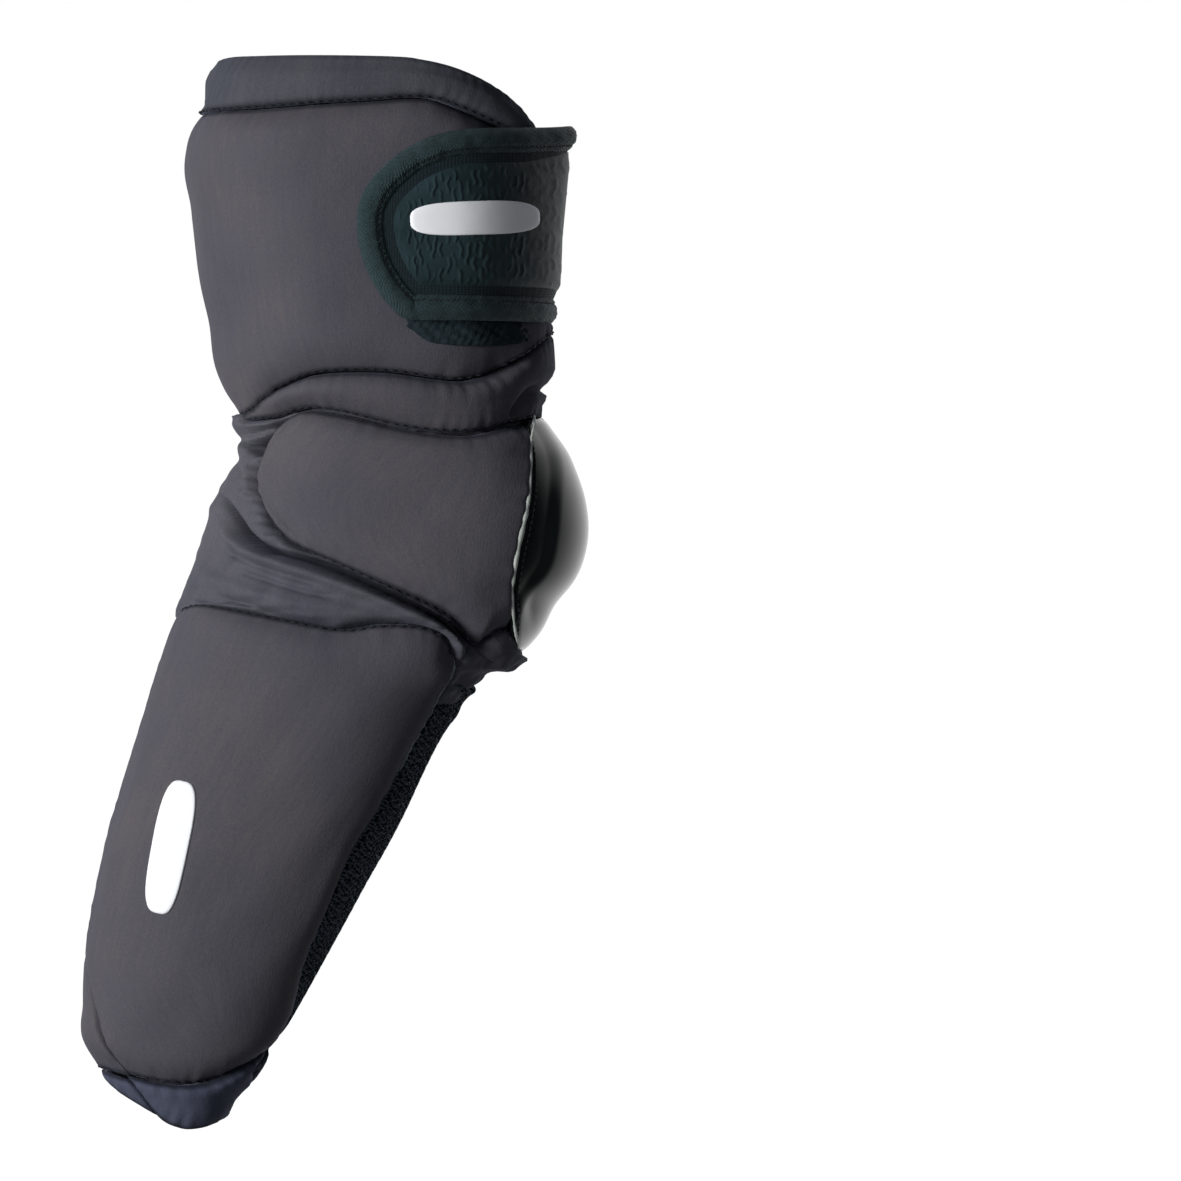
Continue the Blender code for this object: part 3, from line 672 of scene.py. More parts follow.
def tube_mesh(path, radius, sides=8, closed=False, squash=1.0):
    """Points and faces of a tube along a path in millimetres, with capped ends."""
    path = np.asarray(path, float)
    count = len(path)
    ahead = np.roll(path, -1, axis=0)
    behind = np.roll(path, 1, axis=0)
    tangent = ahead - behind
    if not closed:
        tangent[0] = path[1] - path[0]
        tangent[-1] = path[-1] - path[-2]
    tangent /= np.linalg.norm(tangent, axis=1)[:, None]
    guide = np.array((0.31, -0.93, 0.2))
    side = np.cross(tangent, guide)
    side /= np.linalg.norm(side, axis=1)[:, None]
    up = np.cross(side, tangent)
    radius = np.broadcast_to(radius, (count,))
    turn = np.linspace(0.0, 2.0 * math.pi, sides, endpoint=False)
    circle = (np.cos(turn)[None, :, None] * side[:, None, :]
              + squash * np.sin(turn)[None, :, None] * up[:, None, :])
    points = (path[:, None, :] + circle * radius[:, None, None]).reshape(-1, 3)
    faces = []
    for i in range(count if closed else count - 1):
        k = (i + 1) % count
        for j in range(sides):
            m = (j + 1) % sides
            faces.append([i * sides + j, i * sides + m, k * sides + m, k * sides + j])
    if not closed:
        faces.append(list(range(sides - 1, -1, -1)))
        faces.append(list(range((count - 1) * sides, count * sides)))
    return points, faces


def joined(name, parts, material):
    """One object from several (points, faces) parts."""
    points = []
    faces = []
    offset = 0
    for some_points, some_faces in parts:
        points.append(some_points)
        faces.extend([[index + offset for index in face] for face in some_faces])
        offset += len(some_points)
    mesh = bpy.data.meshes.new(name)
    mesh.from_pydata((np.concatenate(points) * MM).tolist(), [], faces)
    mesh.shade_smooth()
    mesh.materials.append(material)
    return link_mesh(name, mesh)


def stitches(name, line, material, pitch=STITCH_PITCH, length=STITCH_LENGTH, radius=STITCH_RADIUS):
    """Row of sewn stitches; line(t, lift) gives points above the fabric."""
    t = np.linspace(0.0, 1.0, 900)
    path = line(t, 0.0)
    lengths = run_lengths(path)
    count = int(lengths[-1] / pitch)
    shape = np.array((-1.0, -0.82, -0.4, 0.0, 0.4, 0.82, 1.0))
    lift = np.array((-0.5, 0.05, 0.3, 0.36, 0.3, 0.05, -0.5))
    size = np.array((0.45, 0.85, 1.0, 1.0, 1.0, 0.85, 0.45))
    centres = (np.arange(count) + 0.5) * pitch
    spots = centres[:, None] + shape[None, :] * length / 2.0
    where = np.interp(spots.ravel(), lengths, t)
    raised = line(where, np.tile(lift, count)).reshape(count, len(shape), 3)
    return joined(name, [tube_mesh(stitch, radius * size, 6) for stitch in raised], material)


# ---- Materials ---------------------------------------------------------------------------------

class Tree:
    """Short way to add and join shader nodes."""

    def __init__(self, tree):
        self.tree = tree

    def add(self, kind, inputs=None, **settings):
        node = self.tree.nodes.new("ShaderNode" + kind)
        for key, value in settings.items():
            setattr(node, key, value)
        for key, value in (inputs or {}).items():
            if isinstance(value, bpy.types.NodeSocket):
                self.tree.links.new(value, node.inputs[key])
            else:
                node.inputs[key].default_value = value
        return node

    def math(self, operation, first, second=0.0):
        return self.add("Math", {0: first, 1: second}, operation=operation).outputs[0]

    def mix(self, share, first, second):
        """Mix of two numbers."""
        return self.add("Mix", {0: share, 2: first, 3: second}, data_type="FLOAT").outputs[0]

    def mix_colours(self, share, first, second):
        return self.add("Mix", {0: share, 6: first, 7: second}, data_type="RGBA").outputs[2]


class Nodes(Tree):
    """A material and its node tree."""

    def __init__(self, name, roughness, **sockets):
        self.material = bpy.data.materials.new(name)
        self.material.use_nodes = True
        super().__init__(self.material.node_tree)
        self.shader = self.tree.nodes["Principled BSDF"]
        self.shader.inputs["Roughness"].default_value = roughness
        for socket, value in sockets.items():
            self.shader.inputs[socket.replace("_", " ")].default_value = value

    def link(self, output, socket):
        self.tree.links.new(output, self.shader.inputs[socket])

    def ramp(self, factor, stops):
        node = self.add("ValToRGB", {0: factor})
        while len(node.color_ramp.elements) < len(stops):
            node.color_ramp.elements.new(0.5)
        for element, (position, colour) in zip(node.color_ramp.elements, stops):
            element.position = position
            element.color = (*colour, 1.0)
        return node.outputs[0]

    def noise(self, vector, scale, detail=3.0, roughness=0.55):
        return self.add("TexNoise", {"Vector": vector, "Scale": scale, "Detail": detail,
                                     "Roughness": roughness}).outputs[0]

    def bump(self, height, strength, distance, **under):
        return self.add("Bump", {"Height": height, "Strength": strength, "Distance": distance,
                                 **under}).outputs[0]


def knit_fabric(name, light, dark, cool):
    """Fine stretch knit: vertical wales, mottled dye, a faint cool sheen, and painted shade that darkens it
    in seams and folds.
    """
    n = Nodes(name, 0.78, Sheen_Weight=0.10, Sheen_Roughness=0.4, Specular_IOR_Level=0.08)
    n.shader.inputs["Sheen Tint"].default_value = (0.62, 0.66, 0.90, 1.0)
    coords = n.add("TexCoord")
    spot = coords.outputs["Object"]
    uv = coords.outputs["UV"]
    broad = n.noise(spot, 11.0, 3.0)
    streak = n.add("Mapping", {"Vector": uv, "Scale": (1.0, 0.12, 1.0)}).outputs[0]
    streaks = n.noise(streak, 330.0, 2.0)
    grain = n.noise(spot, 1100.0, 2.0, 0.75)
    tone = n.math("ADD", n.math("MULTIPLY", broad, 0.5), n.math("MULTIPLY", streaks, 0.16))
    tone = n.math("ADD", tone, n.math("MULTIPLY", grain, 0.34))
    colour = n.ramp(tone, [(0.30, dark), (0.50, cool), (0.68, light)])
    # Painted shade: a per-point attribute mixes the colour towards near-black in seams and folds.
    painted_crease_shade = n.add("Attribute", attribute_name="painted_crease_shade").outputs["Fac"]
    n.link(n.mix_colours(painted_crease_shade, colour, PAINTED_SHADE_COLOUR), "Base Color")
    wales = n.add("Mapping", {"Vector": uv, "Scale": (1.0, 0.22, 1.0)}).outputs[0]
    courses = n.add("Mapping", {"Vector": uv, "Scale": (0.3, 1.0, 1.0)}).outputs[0]
    weave = n.math("ADD", n.math("MULTIPLY", n.noise(wales, 1500.0, 1.0), 0.8),
                   n.math("MULTIPLY", n.noise(courses, 1100.0, 1.0), 0.4))
    weave = n.math("ADD", weave, n.math("MULTIPLY", grain, 0.8))
    fine = n.bump(weave, 0.35, 0.0004)
    n.link(n.bump(n.noise(spot, 60.0, 3.0), 0.18, 0.0015, Normal=fine), "Normal")
    n.link(n.math("ADD", 0.72, n.math("MULTIPLY", grain, 0.16)), "Roughness")
    return n.material


def strap_fabric(name, colour, highlight, scale=330.0):
    """Woven strap: short crossed ribs."""
    n = Nodes(name, 0.7, Specular_IOR_Level=0.15, Sheen_Weight=0.03, Sheen_Roughness=0.5)
    coords = n.add("TexCoord")
    uv = coords.outputs["UV"]
    warp = n.add("TexWave", {"Vector": uv, "Scale": scale, "Distortion": 0.6, "Detail": 1.0},
                 wave_type="BANDS", bands_direction="Y").outputs[1]
    weft = n.add("TexWave", {"Vector": uv, "Scale": scale * 0.6, "Distortion": 0.8, "Detail": 1.0},
                 wave_type="BANDS", bands_direction="X").outputs[1]
    grain = n.noise(coords.outputs["Object"], 700.0, 2.0)
    height = n.math("ADD", n.math("MULTIPLY", warp, 0.6), n.math("MULTIPLY", weft, 0.4))
    height = n.math("ADD", height, n.math("MULTIPLY", grain, 0.5))
    n.link(n.ramp(n.math("MULTIPLY", height, 0.66), [(0.2, colour), (0.9, highlight)]), "Base Color")
    n.link(n.bump(height, 0.5, 0.0004), "Normal")
    return n.material


def twill_tape(name, colour, highlight):
    """Herringbone tape: diagonal ribs that change direction in rows."""
    n = Nodes(name, 0.6, Specular_IOR_Level=0.25, Sheen_Weight=0.06, Sheen_Roughness=0.4)
    n.shader.inputs["Sheen Tint"].default_value = (0.6, 0.8, 0.85, 1.0)
    coords = n.add("TexCoord")
    uv = coords.outputs["UV"]
    parts = n.add("SeparateXYZ", {0: uv})
    row = n.math("PINGPONG", parts.outputs[1], 0.0034)
    slanted = n.math("ADD", n.math("MULTIPLY", parts.outputs[0], 900.0), n.math("MULTIPLY", row, 1500.0))
    rib = n.math("MULTIPLY", n.math("PINGPONG", slanted, 0.5), 2.0)
    grain = n.noise(coords.outputs["Object"], 900.0, 2.0)
    height = n.math("ADD", rib, n.math("MULTIPLY", grain, 0.5))
    n.link(n.ramp(n.math("MULTIPLY", height, 0.66), [(0.15, colour), (0.85, highlight)]), "Base Color")
    n.link(n.bump(height, 0.7, 0.0005), "Normal")
    return n.material


def plain(name, colour, roughness, bump=0.1, scale=400.0, spread=0.25, **sockets):
    """One colour with mottling and a fine grain."""
    n = Nodes(name, roughness, **sockets)
    coords = n.add("TexCoord")
    spot = coords.outputs["Object"]
    low = tuple(c * (1.0 - spread) for c in colour)
    high = tuple(min(1.0, c * (1.0 + spread)) for c in colour)
    n.link(n.ramp(n.noise(spot, 45.0, 4.0), [(0.35, low), (0.65, high)]), "Base Color")
    n.link(n.bump(n.noise(spot, scale, 3.0), bump, 0.0004), "Normal")
    return n.material


FABRIC = knit_fabric("charcoal_knit", (0.096, 0.088, 0.092), (0.050, 0.050, 0.067),
                     (0.070, 0.068, 0.081))
# Painted shade: a darker, bluer copy of the charcoal knit for the rim roll.
SHADED_RIM_KNIT = knit_fabric("charcoal_knit_rim_painted_shade", (0.074, 0.076, 0.086), (0.036, 0.042, 0.056),
                         (0.054, 0.057, 0.070))
FABRIC_THIN = knit_fabric("charcoal_knit_thin", (0.098, 0.094, 0.106), (0.052, 0.053, 0.072),
                          (0.073, 0.073, 0.089))
FABRIC_WRIST = knit_fabric("charcoal_knit_wrist", (0.076, 0.083, 0.118), (0.044, 0.050, 0.080),
                           (0.059, 0.066, 0.098))
THREAD = plain("stitch_thread", (0.020, 0.021, 0.027), 0.6, 0.3, 1500.0)
STRAP = strap_fabric("strap_weave", (0.007, 0.012, 0.015), (0.020, 0.031, 0.036))
PANEL_CLOTH = plain("grip_panel_cloth", (0.017, 0.031, 0.036), 0.5, 0.25, 900.0,
                    Specular_IOR_Level=0.2)
TAPE = twill_tape("binding_tape", (0.008, 0.014, 0.017), (0.056, 0.090, 0.098))
LOOP = plain("loop_pile", (0.013, 0.020, 0.024), 0.9, 0.9, 1300.0, 0.5, Specular_IOR_Level=0.1)
HOOKS = plain("hook_tape", (0.014, 0.016, 0.017), 0.5, 0.9, 1100.0, 0.4)
WHITE = plain("white_print", (0.80, 0.82, 0.86), 0.38, 0.06, 700.0, 0.03)
CAP = plain("cap_plastic", (0.009, 0.012, 0.013), 0.2, 0.05, 130.0, 0.1, Specular_IOR_Level=0.6,
            Coat_Weight=0.5, Coat_Roughness=0.12)
WELT = plain("welt_edge", (0.36, 0.39, 0.37), 0.5, 0.35, 600.0, 0.3)
MESH_CLOTH = plain("spacer_mesh", (0.062, 0.082, 0.112), 0.5, 0.4, 1500.0, Specular_IOR_Level=0.35)
MESH_BACKING = plain("mesh_backing", (0.006, 0.008, 0.012), 0.8, 0.4, 1500.0, Specular_IOR_Level=0.1)
LINING = plain("lining_cloth", (0.030, 0.030, 0.035), 0.85, 0.5, 900.0)
PIPING = plain("piping", (0.13, 0.15, 0.17), 0.6, 0.5, 900.0, 0.35)


# ---- Pieces ------------------------------------------------------------------------------------

def rest_on(obj, body):
    """Ride on a body."""
    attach(obj, body)
    return obj


def stand_for(obj, body, *nodes):
    """Ride on a body in place of CAD nodes, which are hidden."""
    rest_on(obj, body)
    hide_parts(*nodes)


def seam_line(panel, start, end, inset):
    """Line t -> points on a panel's surface, from (u, v) start to end, inset from its edge."""
    start = np.array(start, float)
    end = np.array(end, float)
    level = start[1] == end[1]

    def at(t, lift):
        spot = start + (end - start) * np.asarray(t)[..., None]
        u = spot[..., 0]
        v = spot[..., 1]
        zero = np.zeros_like(u)
        if level:
            span = np.linalg.norm(panel.base(u, zero) - panel.base(u, zero + 1.0), axis=-1)
            v = v + inset / np.maximum(span, 4.0) * (1.0 if start[1] == 0.0 else -1.0)
        else:
            span = np.linalg.norm(panel.base(zero, v) - panel.base(zero + 1.0, v), axis=-1)
            u = u + inset / np.maximum(span, 4.0) * (1.0 if start[0] == 0.0 else -1.0)
        return panel.surface(u, v, lift)

    return at


soft = waves(3, (60.0, 28.0), (0.6, 0.25))


def wavy(points, distance, along):
    return soft(points) * ease(distance / 14.0)


def cinch(points):
    """How far the strap presses into the pads, on the outer side only near the back."""
    x = points[..., 0]
    z = points[..., 2]
    zone = ease((STRAP_TOP + 2.0 - z) / 5.0) * ease((z - STRAP_BOTTOM + 2.0) / 5.0)
    side = np.where(points[..., 1] < 0.0, ease((x - 28.0) / 34.0), ease((x + 48.0) / 34.0))
    return STRAP_PRESS * zone * side


def cinch_relief(points, distance, along):
    return -cinch(points)


def sew(panel, name, body, start=(0.0, 1.0), end=(1.0, 1.0), inset=SEAM_INSET):
    """Row of stitches along one side of a panel, from (u, v) start to end."""
    return rest_on(stitches(name, seam_line(panel, start, end, inset), THREAD), body)


def build_rim():
    """Rolled padded rim with the stitched seam below it and the lining's edge above it."""
    top = ring_edge(RIM_TOP, 0.06)
    bottom = ring_edge(RIM_SEAM)
    lip_height = 4.0

    def lip(points, distance, along):
        below_top = distance_to(points, top_run)[0]
        away = ease((points[..., 0] + 66.0) / 8.0)
        step = 1.6 * (1.0 - ease((below_top - lip_height + 0.8) / 2.2)) * away
        return -step - 0.9 * away * np.exp(-((below_top - lip_height) / 0.7) ** 2)

    def flat_end(points, distance, along):
        """The roll's end at the crook is upright instead of following the sleeve."""
        return -np.maximum(0.0, -66.9 - points[..., 0]) * ease(distance / 4.0)

    def boxy(points):
        end = ease((-48.0 - points[..., 0]) / 12.0)
        return 1.0 - end * (0.5 + 0.32 * ease((points[..., 2] + 12.0) / 5.0))

    panel = Panel(ring(top, bottom), True, 5.4, (4.6, 0, 5.5, 0),
                  (wavy, lip, flat_end, pucker(11, 0.35, 3.5, 7.0)), 0.7, (0.62, 1.0, 1.0, 1.0), boxy)
    top_run = panel.runs[0][0]

    def back(u, v, spot):
        t = np.clip(v * panel.height / 8.0, 0.0, 1.0)
        return PAD - 3.4 * (1.0 - np.sqrt(1.0 - (1.0 - t) ** 2))

    rim = panel.build("rim_roll", EDGE_GRID, back, SHADED_RIM_KNIT)
    stand_for(rim, "upper_arm", "rim_cover", "rim_foam")
    sew(panel, "rim_stitches", "upper_arm", inset=NARROW_INSET)


def heel(points, distance, along):
    """Swelling of the pads below the strap, behind the arm."""
    z = points[..., 2]
    return 1.6 * ease((points[..., 0] - 50.0) / 12.0) * ease((-97.0 - z) / 6.0) * ease((z + 125.0) / 6.0)


def build_upper_pads():
    """Big outer and inner pads of the upper arm."""
    top = ring_edge(RIM_SEAM)
    end = ring_edge(UPPER_PAD_END)

    def waist(points, distance, along):
        z = points[..., 2]
        crook = ease((-20.0 - points[..., 0]) / 45.0)
        return -2.5 * crook * ease((-40.0 - z) / 18.0) * ease((z + 122.0) / 22.0)

    def low_corner(points):
        """The pad keeps its thickness at its ends by the crook and behind the strap."""
        x = points[..., 0]
        z = points[..., 2]
        corner = 0.8 * ease((-40.0 - x) / 12.0) * ease((-104.0 - z) / 14.0)
        corner = corner + 0.5 * ease((-50.0 - x) / 12.0) * ease((z + 44.0) / 14.0)
        return 1.0 - corner - 0.85 * ease((x - 46.0) / 14.0) * ease((-86.0 - z) / 12.0)

    for name, first, last, side in (("biceps_pad_outer", -8.0, 188.0, "_outer"),
                                    ("biceps_pad_inner", 188.6, 351.4, "_inner")):
        relief = (wavy, waist, heel, cinch_relief, pucker(21, 0.45, 4.0, 7.0))
        panel = Panel(ring(lambda a: top(a) + 0.02, lambda a: end(a) - 0.02, first, last), False, 7.4,
                      (11.0, 7.0, 17.0, 7.0), relief, 0.3, scale=low_corner)
        pad = panel.build(name, PAD_GRID, PAD_BACK, FABRIC)
        stand_for(pad, "upper_arm", "biceps_cover" + side, "biceps_foam" + side)
        sew(panel, name + "_stitches", "upper_arm")


def build_band():
    """Padded roll between the upper-arm pads and the elbow."""
    top = ring_edge(UPPER_PAD_END)
    end = ring_edge(BAND_END)
    fold = folds([([(84.0, -126.8), (68.0, -127.2), (62.4, -128.4), (58.0, -133.0), (54.0, -139.4)],
                   1.6, -5.6),
                  ([(90.0, -133.6), (68.0, -133.8), (62.0, -135.4)], 2.4, -1.2)])

    def tight_end(points):
        x = points[..., 0]
        upper = ease((points[..., 2] + 130.0) / 10.0)
        return 1.0 - 0.85 * ease((-38.0 - x) / 12.0) - (0.45 + 0.4 * upper) * ease((x - 54.0) / 12.0)

    panel = Panel(ring(lambda a: top(a) + 0.02, lambda a: end(a) - 0.01), True, 7.2,
                  (7.0, 0, 9.0, 0), (wavy, fold, heel, pucker(31, 0.5, 4.0, 8.0)), 0.45, scale=tight_end)
    band = panel.build("elbow_roll", ROLL_GRID, PAD_BACK, FABRIC)
    seam = stitches("elbow_roll_stitches", seam_line(panel, (0.0, 1.0), (1.0, 1.0), SEAM_INSET), THREAD)
    for piece in (band, seam):
        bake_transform(piece)
    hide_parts("band_cover", "band_foam")


def build_wings():
    """Elbow wing pads with their stitched edges."""
    welt_back = [(x - 0.9, z) for x, z in WELT_LINE]
    welt_back[0] = WING_TOP[0]
    welt_back[-1] = WING_BOTTOM[0]

    def seam_depth(x):
        return 5.6 - 4.0 * ease((x - 15.0) / 35.0)

    def rolled_edge(points, distance, along):
        """Narrow roll along the front edge, with the seam line behind it."""
        front = (along >= RUN_STEP) & (along < 2.0 * RUN_STEP)
        roll = 0.55 * np.exp(-((distance - 1.5) / 1.0) ** 2)
        return front * (roll - 0.5 * np.exp(-((distance - 3.3) / 0.6) ** 2))

    for side, inner in (("_outer", False), ("_inner", True)):
        place = patch(*(edge(line, inner, seam_depth)
                        for line in (WING_TOP, welt_back, WING_BOTTOM, WING_FRONT)))
        panel = Panel(place, False, 6.6, (8.0, 13.0, 14.0, 2.5),
                      (wavy, rolled_edge, pucker(41, 0.4, 3.5, 6.0)), 0.35,
                      (1.0, 1.0, 1.0, 0.3))
        name = "wing_pad" + side
        pad = panel.build(name, EDGE_GRID, PAD_BACK, FABRIC)
        stand_for(pad, "elbow", "wing_cover" + side, "wing_foam" + side)
        for part, start, end in (("_front", (1.0, 0.0), (1.0, 1.0)), ("_bottom", (0.0, 1.0), (1.0, 1.0))):
            sew(panel, name + part + "_stitches", "elbow", start, end, NARROW_INSET)


def sleeve_tube(name, first, last, depth, thickness, spacing, material, painted_crease_shade=None):
    """Closed thin tube of fabric round the sleeve between two stations, with optional painted shade per
    point.
    """
    stations = np.linspace(first if np.isscalar(first) else 0.3, last, 60)
    height = path_length(sleeve(stations, 90.0, 0.0))
    u, v = grid(int(SLEEVE_GIRTH / spacing), int(height / spacing), True)
    angle = 360.0 * u
    start = first if np.isscalar(first) else first(angle)
    station = start + (last - start) * v
    base = sleeve(station, angle, 0.0)
    outer = depth(station, angle, base)
    dark = painted_crease_shade(station, angle, base) if painted_crease_shade else 0.0 * angle
    return shell(name, np.stack((station, angle), -1), outer, outer + thickness,
                 (u * SLEEVE_GIRTH, -v * height), material, True, dark)


def covered(points, outline):
    """Signed distance in the side view to a closed outline, negative inside it."""
    closed = np.array(outline + outline[:1], float)
    flat = points[..., [0, 2]]
    gap, along = distance_to(flat, closed)
    inside = np.zeros(flat.shape[:-1], bool)
    for start, end in zip(closed[:-1], closed[1:]):
        crosses = (start[1] > flat[..., 1]) != (end[1] > flat[..., 1])
        slope = (end[0] - start[0]) / ((end[1] - start[1]) or 1e-9)
        inside ^= crosses & (flat[..., 0] < start[0] + slope * (flat[..., 1] - start[1]))
    return np.where(inside, -gap, gap)


def build_gusset():
    """Thin gathered fabric of the crook and between the wings and the forearm pads."""
    band_zone = [(-140.0, -133.6), (-58.0, -134.6), (-53.0, -137.0), (-49.0, -139.2)]
    band_zone += BAND_END[2:-1]
    band_zone += [(62.0, -137.0), (140.0, -134.0), (140.0, 40.0), (-140.0, 40.0)]
    wing_zone = WING_TOP + WING_FRONT[1:] + WING_BOTTOM[-2::-1] + [(55.6, -230.0), (140.0, -230.0),
                                                                 (140.0, -145.0)]
    fore_zone = FORE_TOP[::-1] + FORE_BACK[1:5] + [(26.0, -261.5), (140.0, -275.0), (140.0, -460.0),
                                                  (-160.0, -460.0), (-160.0, -223.0)]
    relief = folds(GUSSET_FOLDS)
    edge_line = outline_at(CROOK_EDGE, np.linspace(0.0, 1.0, 200))
    edge_z = edge_line[:, 0]
    edge_depth = edge_line[:, 1]
    wobble = waves(5, (30.0, 13.0), (0.8, 0.35))
    tight = waves(6, (7.0,), (0.22,))

    def crook_share(angle):
        folded = 180.0 - np.abs((angle % 360.0) - 180.0)
        return ease((folded - 149.0) / 28.0)

    def smooth_depth(station, angle, points):
        crook = crook_share(angle)
        level = OPEN_DEPTH * (1.0 - crook) + crook * np.interp(points[..., 2], edge_z, edge_depth)
        return level + 3.4 * ease((-236.5 - points[..., 2]) / 5.0) * ease((points[..., 0] - 30.0) / 10.0)

    # Painted shade: the thin fabric is darkened in its fold valleys, less at the crook's edge.
    def gusset_painted_shade(station, angle, points):
        seen = sleeve(station, angle, smooth_depth(station, angle, points))
        return 0.85 * ease((-relief(seen, None, None) - 1.2) / 4.0) * (1.0 - 0.6 * crook_share(angle))

    def depth(station, angle, points):
        crook = crook_share(angle)
        level = smooth_depth(station, angle, points)
        seen = sleeve(station, angle, level)
        clear = np.min([covered(seen, zone) for zone in (wing_zone, band_zone, fore_zone)], axis=0)
        share = ease((clear + 1.0) / 3.6)
        gather = 0.5 + 0.7 * ease((-36.0 - points[..., 0]) / 6.0) * (1.0 - crook)
        puckers = gather * np.sin(points[..., 2] * 1.45) * np.exp(-np.abs(clear - 2.5) / 2.2)
        shape = relief(seen, None, None) * (1.0 - crook) + wobble(points) * (1.0 - 0.7 * crook)
        surface = level - shape - tight(points) - puckers
        return UNDER_DEPTH + (np.clip(surface, -7.0, 12.0) - UNDER_DEPTH) * share

    def tucked(station, angle, points):
        return depth(station, angle, points) + 0.8 * ease((station - GUSSET_SPLIT) / 0.25)

    top = sleeve_tube("crook_sleeve", 5.3, GUSSET_SPLIT + 0.45, tucked, 0.7, 1.0, FABRIC_THIN, gusset_painted_shade)
    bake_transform(top)
    low = sleeve_tube("elbow_sleeve", GUSSET_SPLIT, 12.6, depth, 0.7, 1.05, FABRIC_THIN, gusset_painted_shade)
    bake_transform(low)
    for piece, size in ((top, (0.34, 0.045)), (low, (0.34, 0.095))):
        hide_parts("elbow_gusset")


def build_cap():
    """Glossy hard cap with a sewn flange, its foam liner and the light welt."""
    line = edge(WELT_LINE)

    def place(u, v):
        spot = line(0.015 + 0.97 * v)
        return np.stack((spot[..., 0], (2.0 * u - 1.0) * (spot[..., 1] - 0.6)), -1)

    dome = outline_at(CAP_DOME, np.linspace(0.0, 1.0, 60))

    def dome_step(points, distance, along):
        gap = distance_to(points[..., [0, 2]], dome)[0]
        row = np.interp(-points[..., 2], -dome[:, 1], dome[:, 0])
        side = np.where(points[..., 0] > row, gap, -gap)
        z = points[..., 2]
        ends = 1.0 - ease((-137.0 - z) / 18.0) * ease((z + 240.0) / 26.0)
        hollow = 2.6 * np.exp(-((z + 213.0) / 8.0) ** 2) * ease((points[..., 0] - 55.0) / 8.0)
        return 1.3 * ease((side + 2.0) / 5.0) - 1.3 - 3.4 * ends - hollow

    panel = Panel(place, False, 2.0, (5.0, 2.5, 5.0, 2.5), (dome_step,), 0.7)
    cap = panel.build("cap_shell", SMALL_GRID, lambda u, v, spot: panel.depth(u, v) + 2.6, CAP)
    stand_for(cap, "elbow", "elbow_cap")
    foam = slab("cap_liner", place, 60, 40, lambda u, v, s: 6.6 + 0.0 * u, lambda u, v, s: PAD + 0.0 * u,
                LINING, panel.length, panel.height)
    stand_for(foam, "elbow", "elbow_cap_liner")

    t = np.linspace(0.0, 1.0, 150)
    sides = []
    for sign in (1.0, -1.0):
        spot = line(t if sign > 0.0 else t[::-1])
        sides.append(np.stack((spot[:, 0], sign * (spot[:, 1] + 0.2)), -1))
    first, second = sides
    blend = np.linspace(0.0, 1.0, 32)[1:-1, None]
    bottom = first[-1] * (1.0 - blend) + second[0] * blend
    top = second[-1] * (1.0 - blend) + first[0] * blend
    loop = np.concatenate((first, bottom, second, top))
    tucked = np.concatenate((0.0 * t, np.full(30, 1.0), 0.0 * t, np.full(30, 1.0)))
    around = np.concatenate((tucked[-9:], tucked, tucked[:9]))
    tucked = np.convolve(around, np.full(19, 1.0 / 19.0), "valid")
    centre = sleeve(loop[:, 0], loop[:, 1], 0.9 + 7.5 * tucked)
    wide = np.exp(-((centre[:, 2] + 186.0) / 17.0) ** 2)
    rough = waves(9, (14.0, 5.0), (0.12, 0.1))(centre)
    welt = joined("cap_welt", [tube_mesh(centre, 0.62 + 0.55 * wide + rough, 8, True)], WELT)
    stand_for(welt, "elbow", "elbow_welt")

    inset = 2.6 / panel.length
    for name, u in (("cap_stitches_outer", 1.0 - inset), ("cap_stitches_inner", inset)):
        def flange(t, lift, u=u):
            return panel.surface(np.full(np.shape(t), u), 0.02 + 0.96 * np.asarray(t), lift)

        rest_on(stitches(name, flange, THREAD, *CAP_STITCH), "elbow")


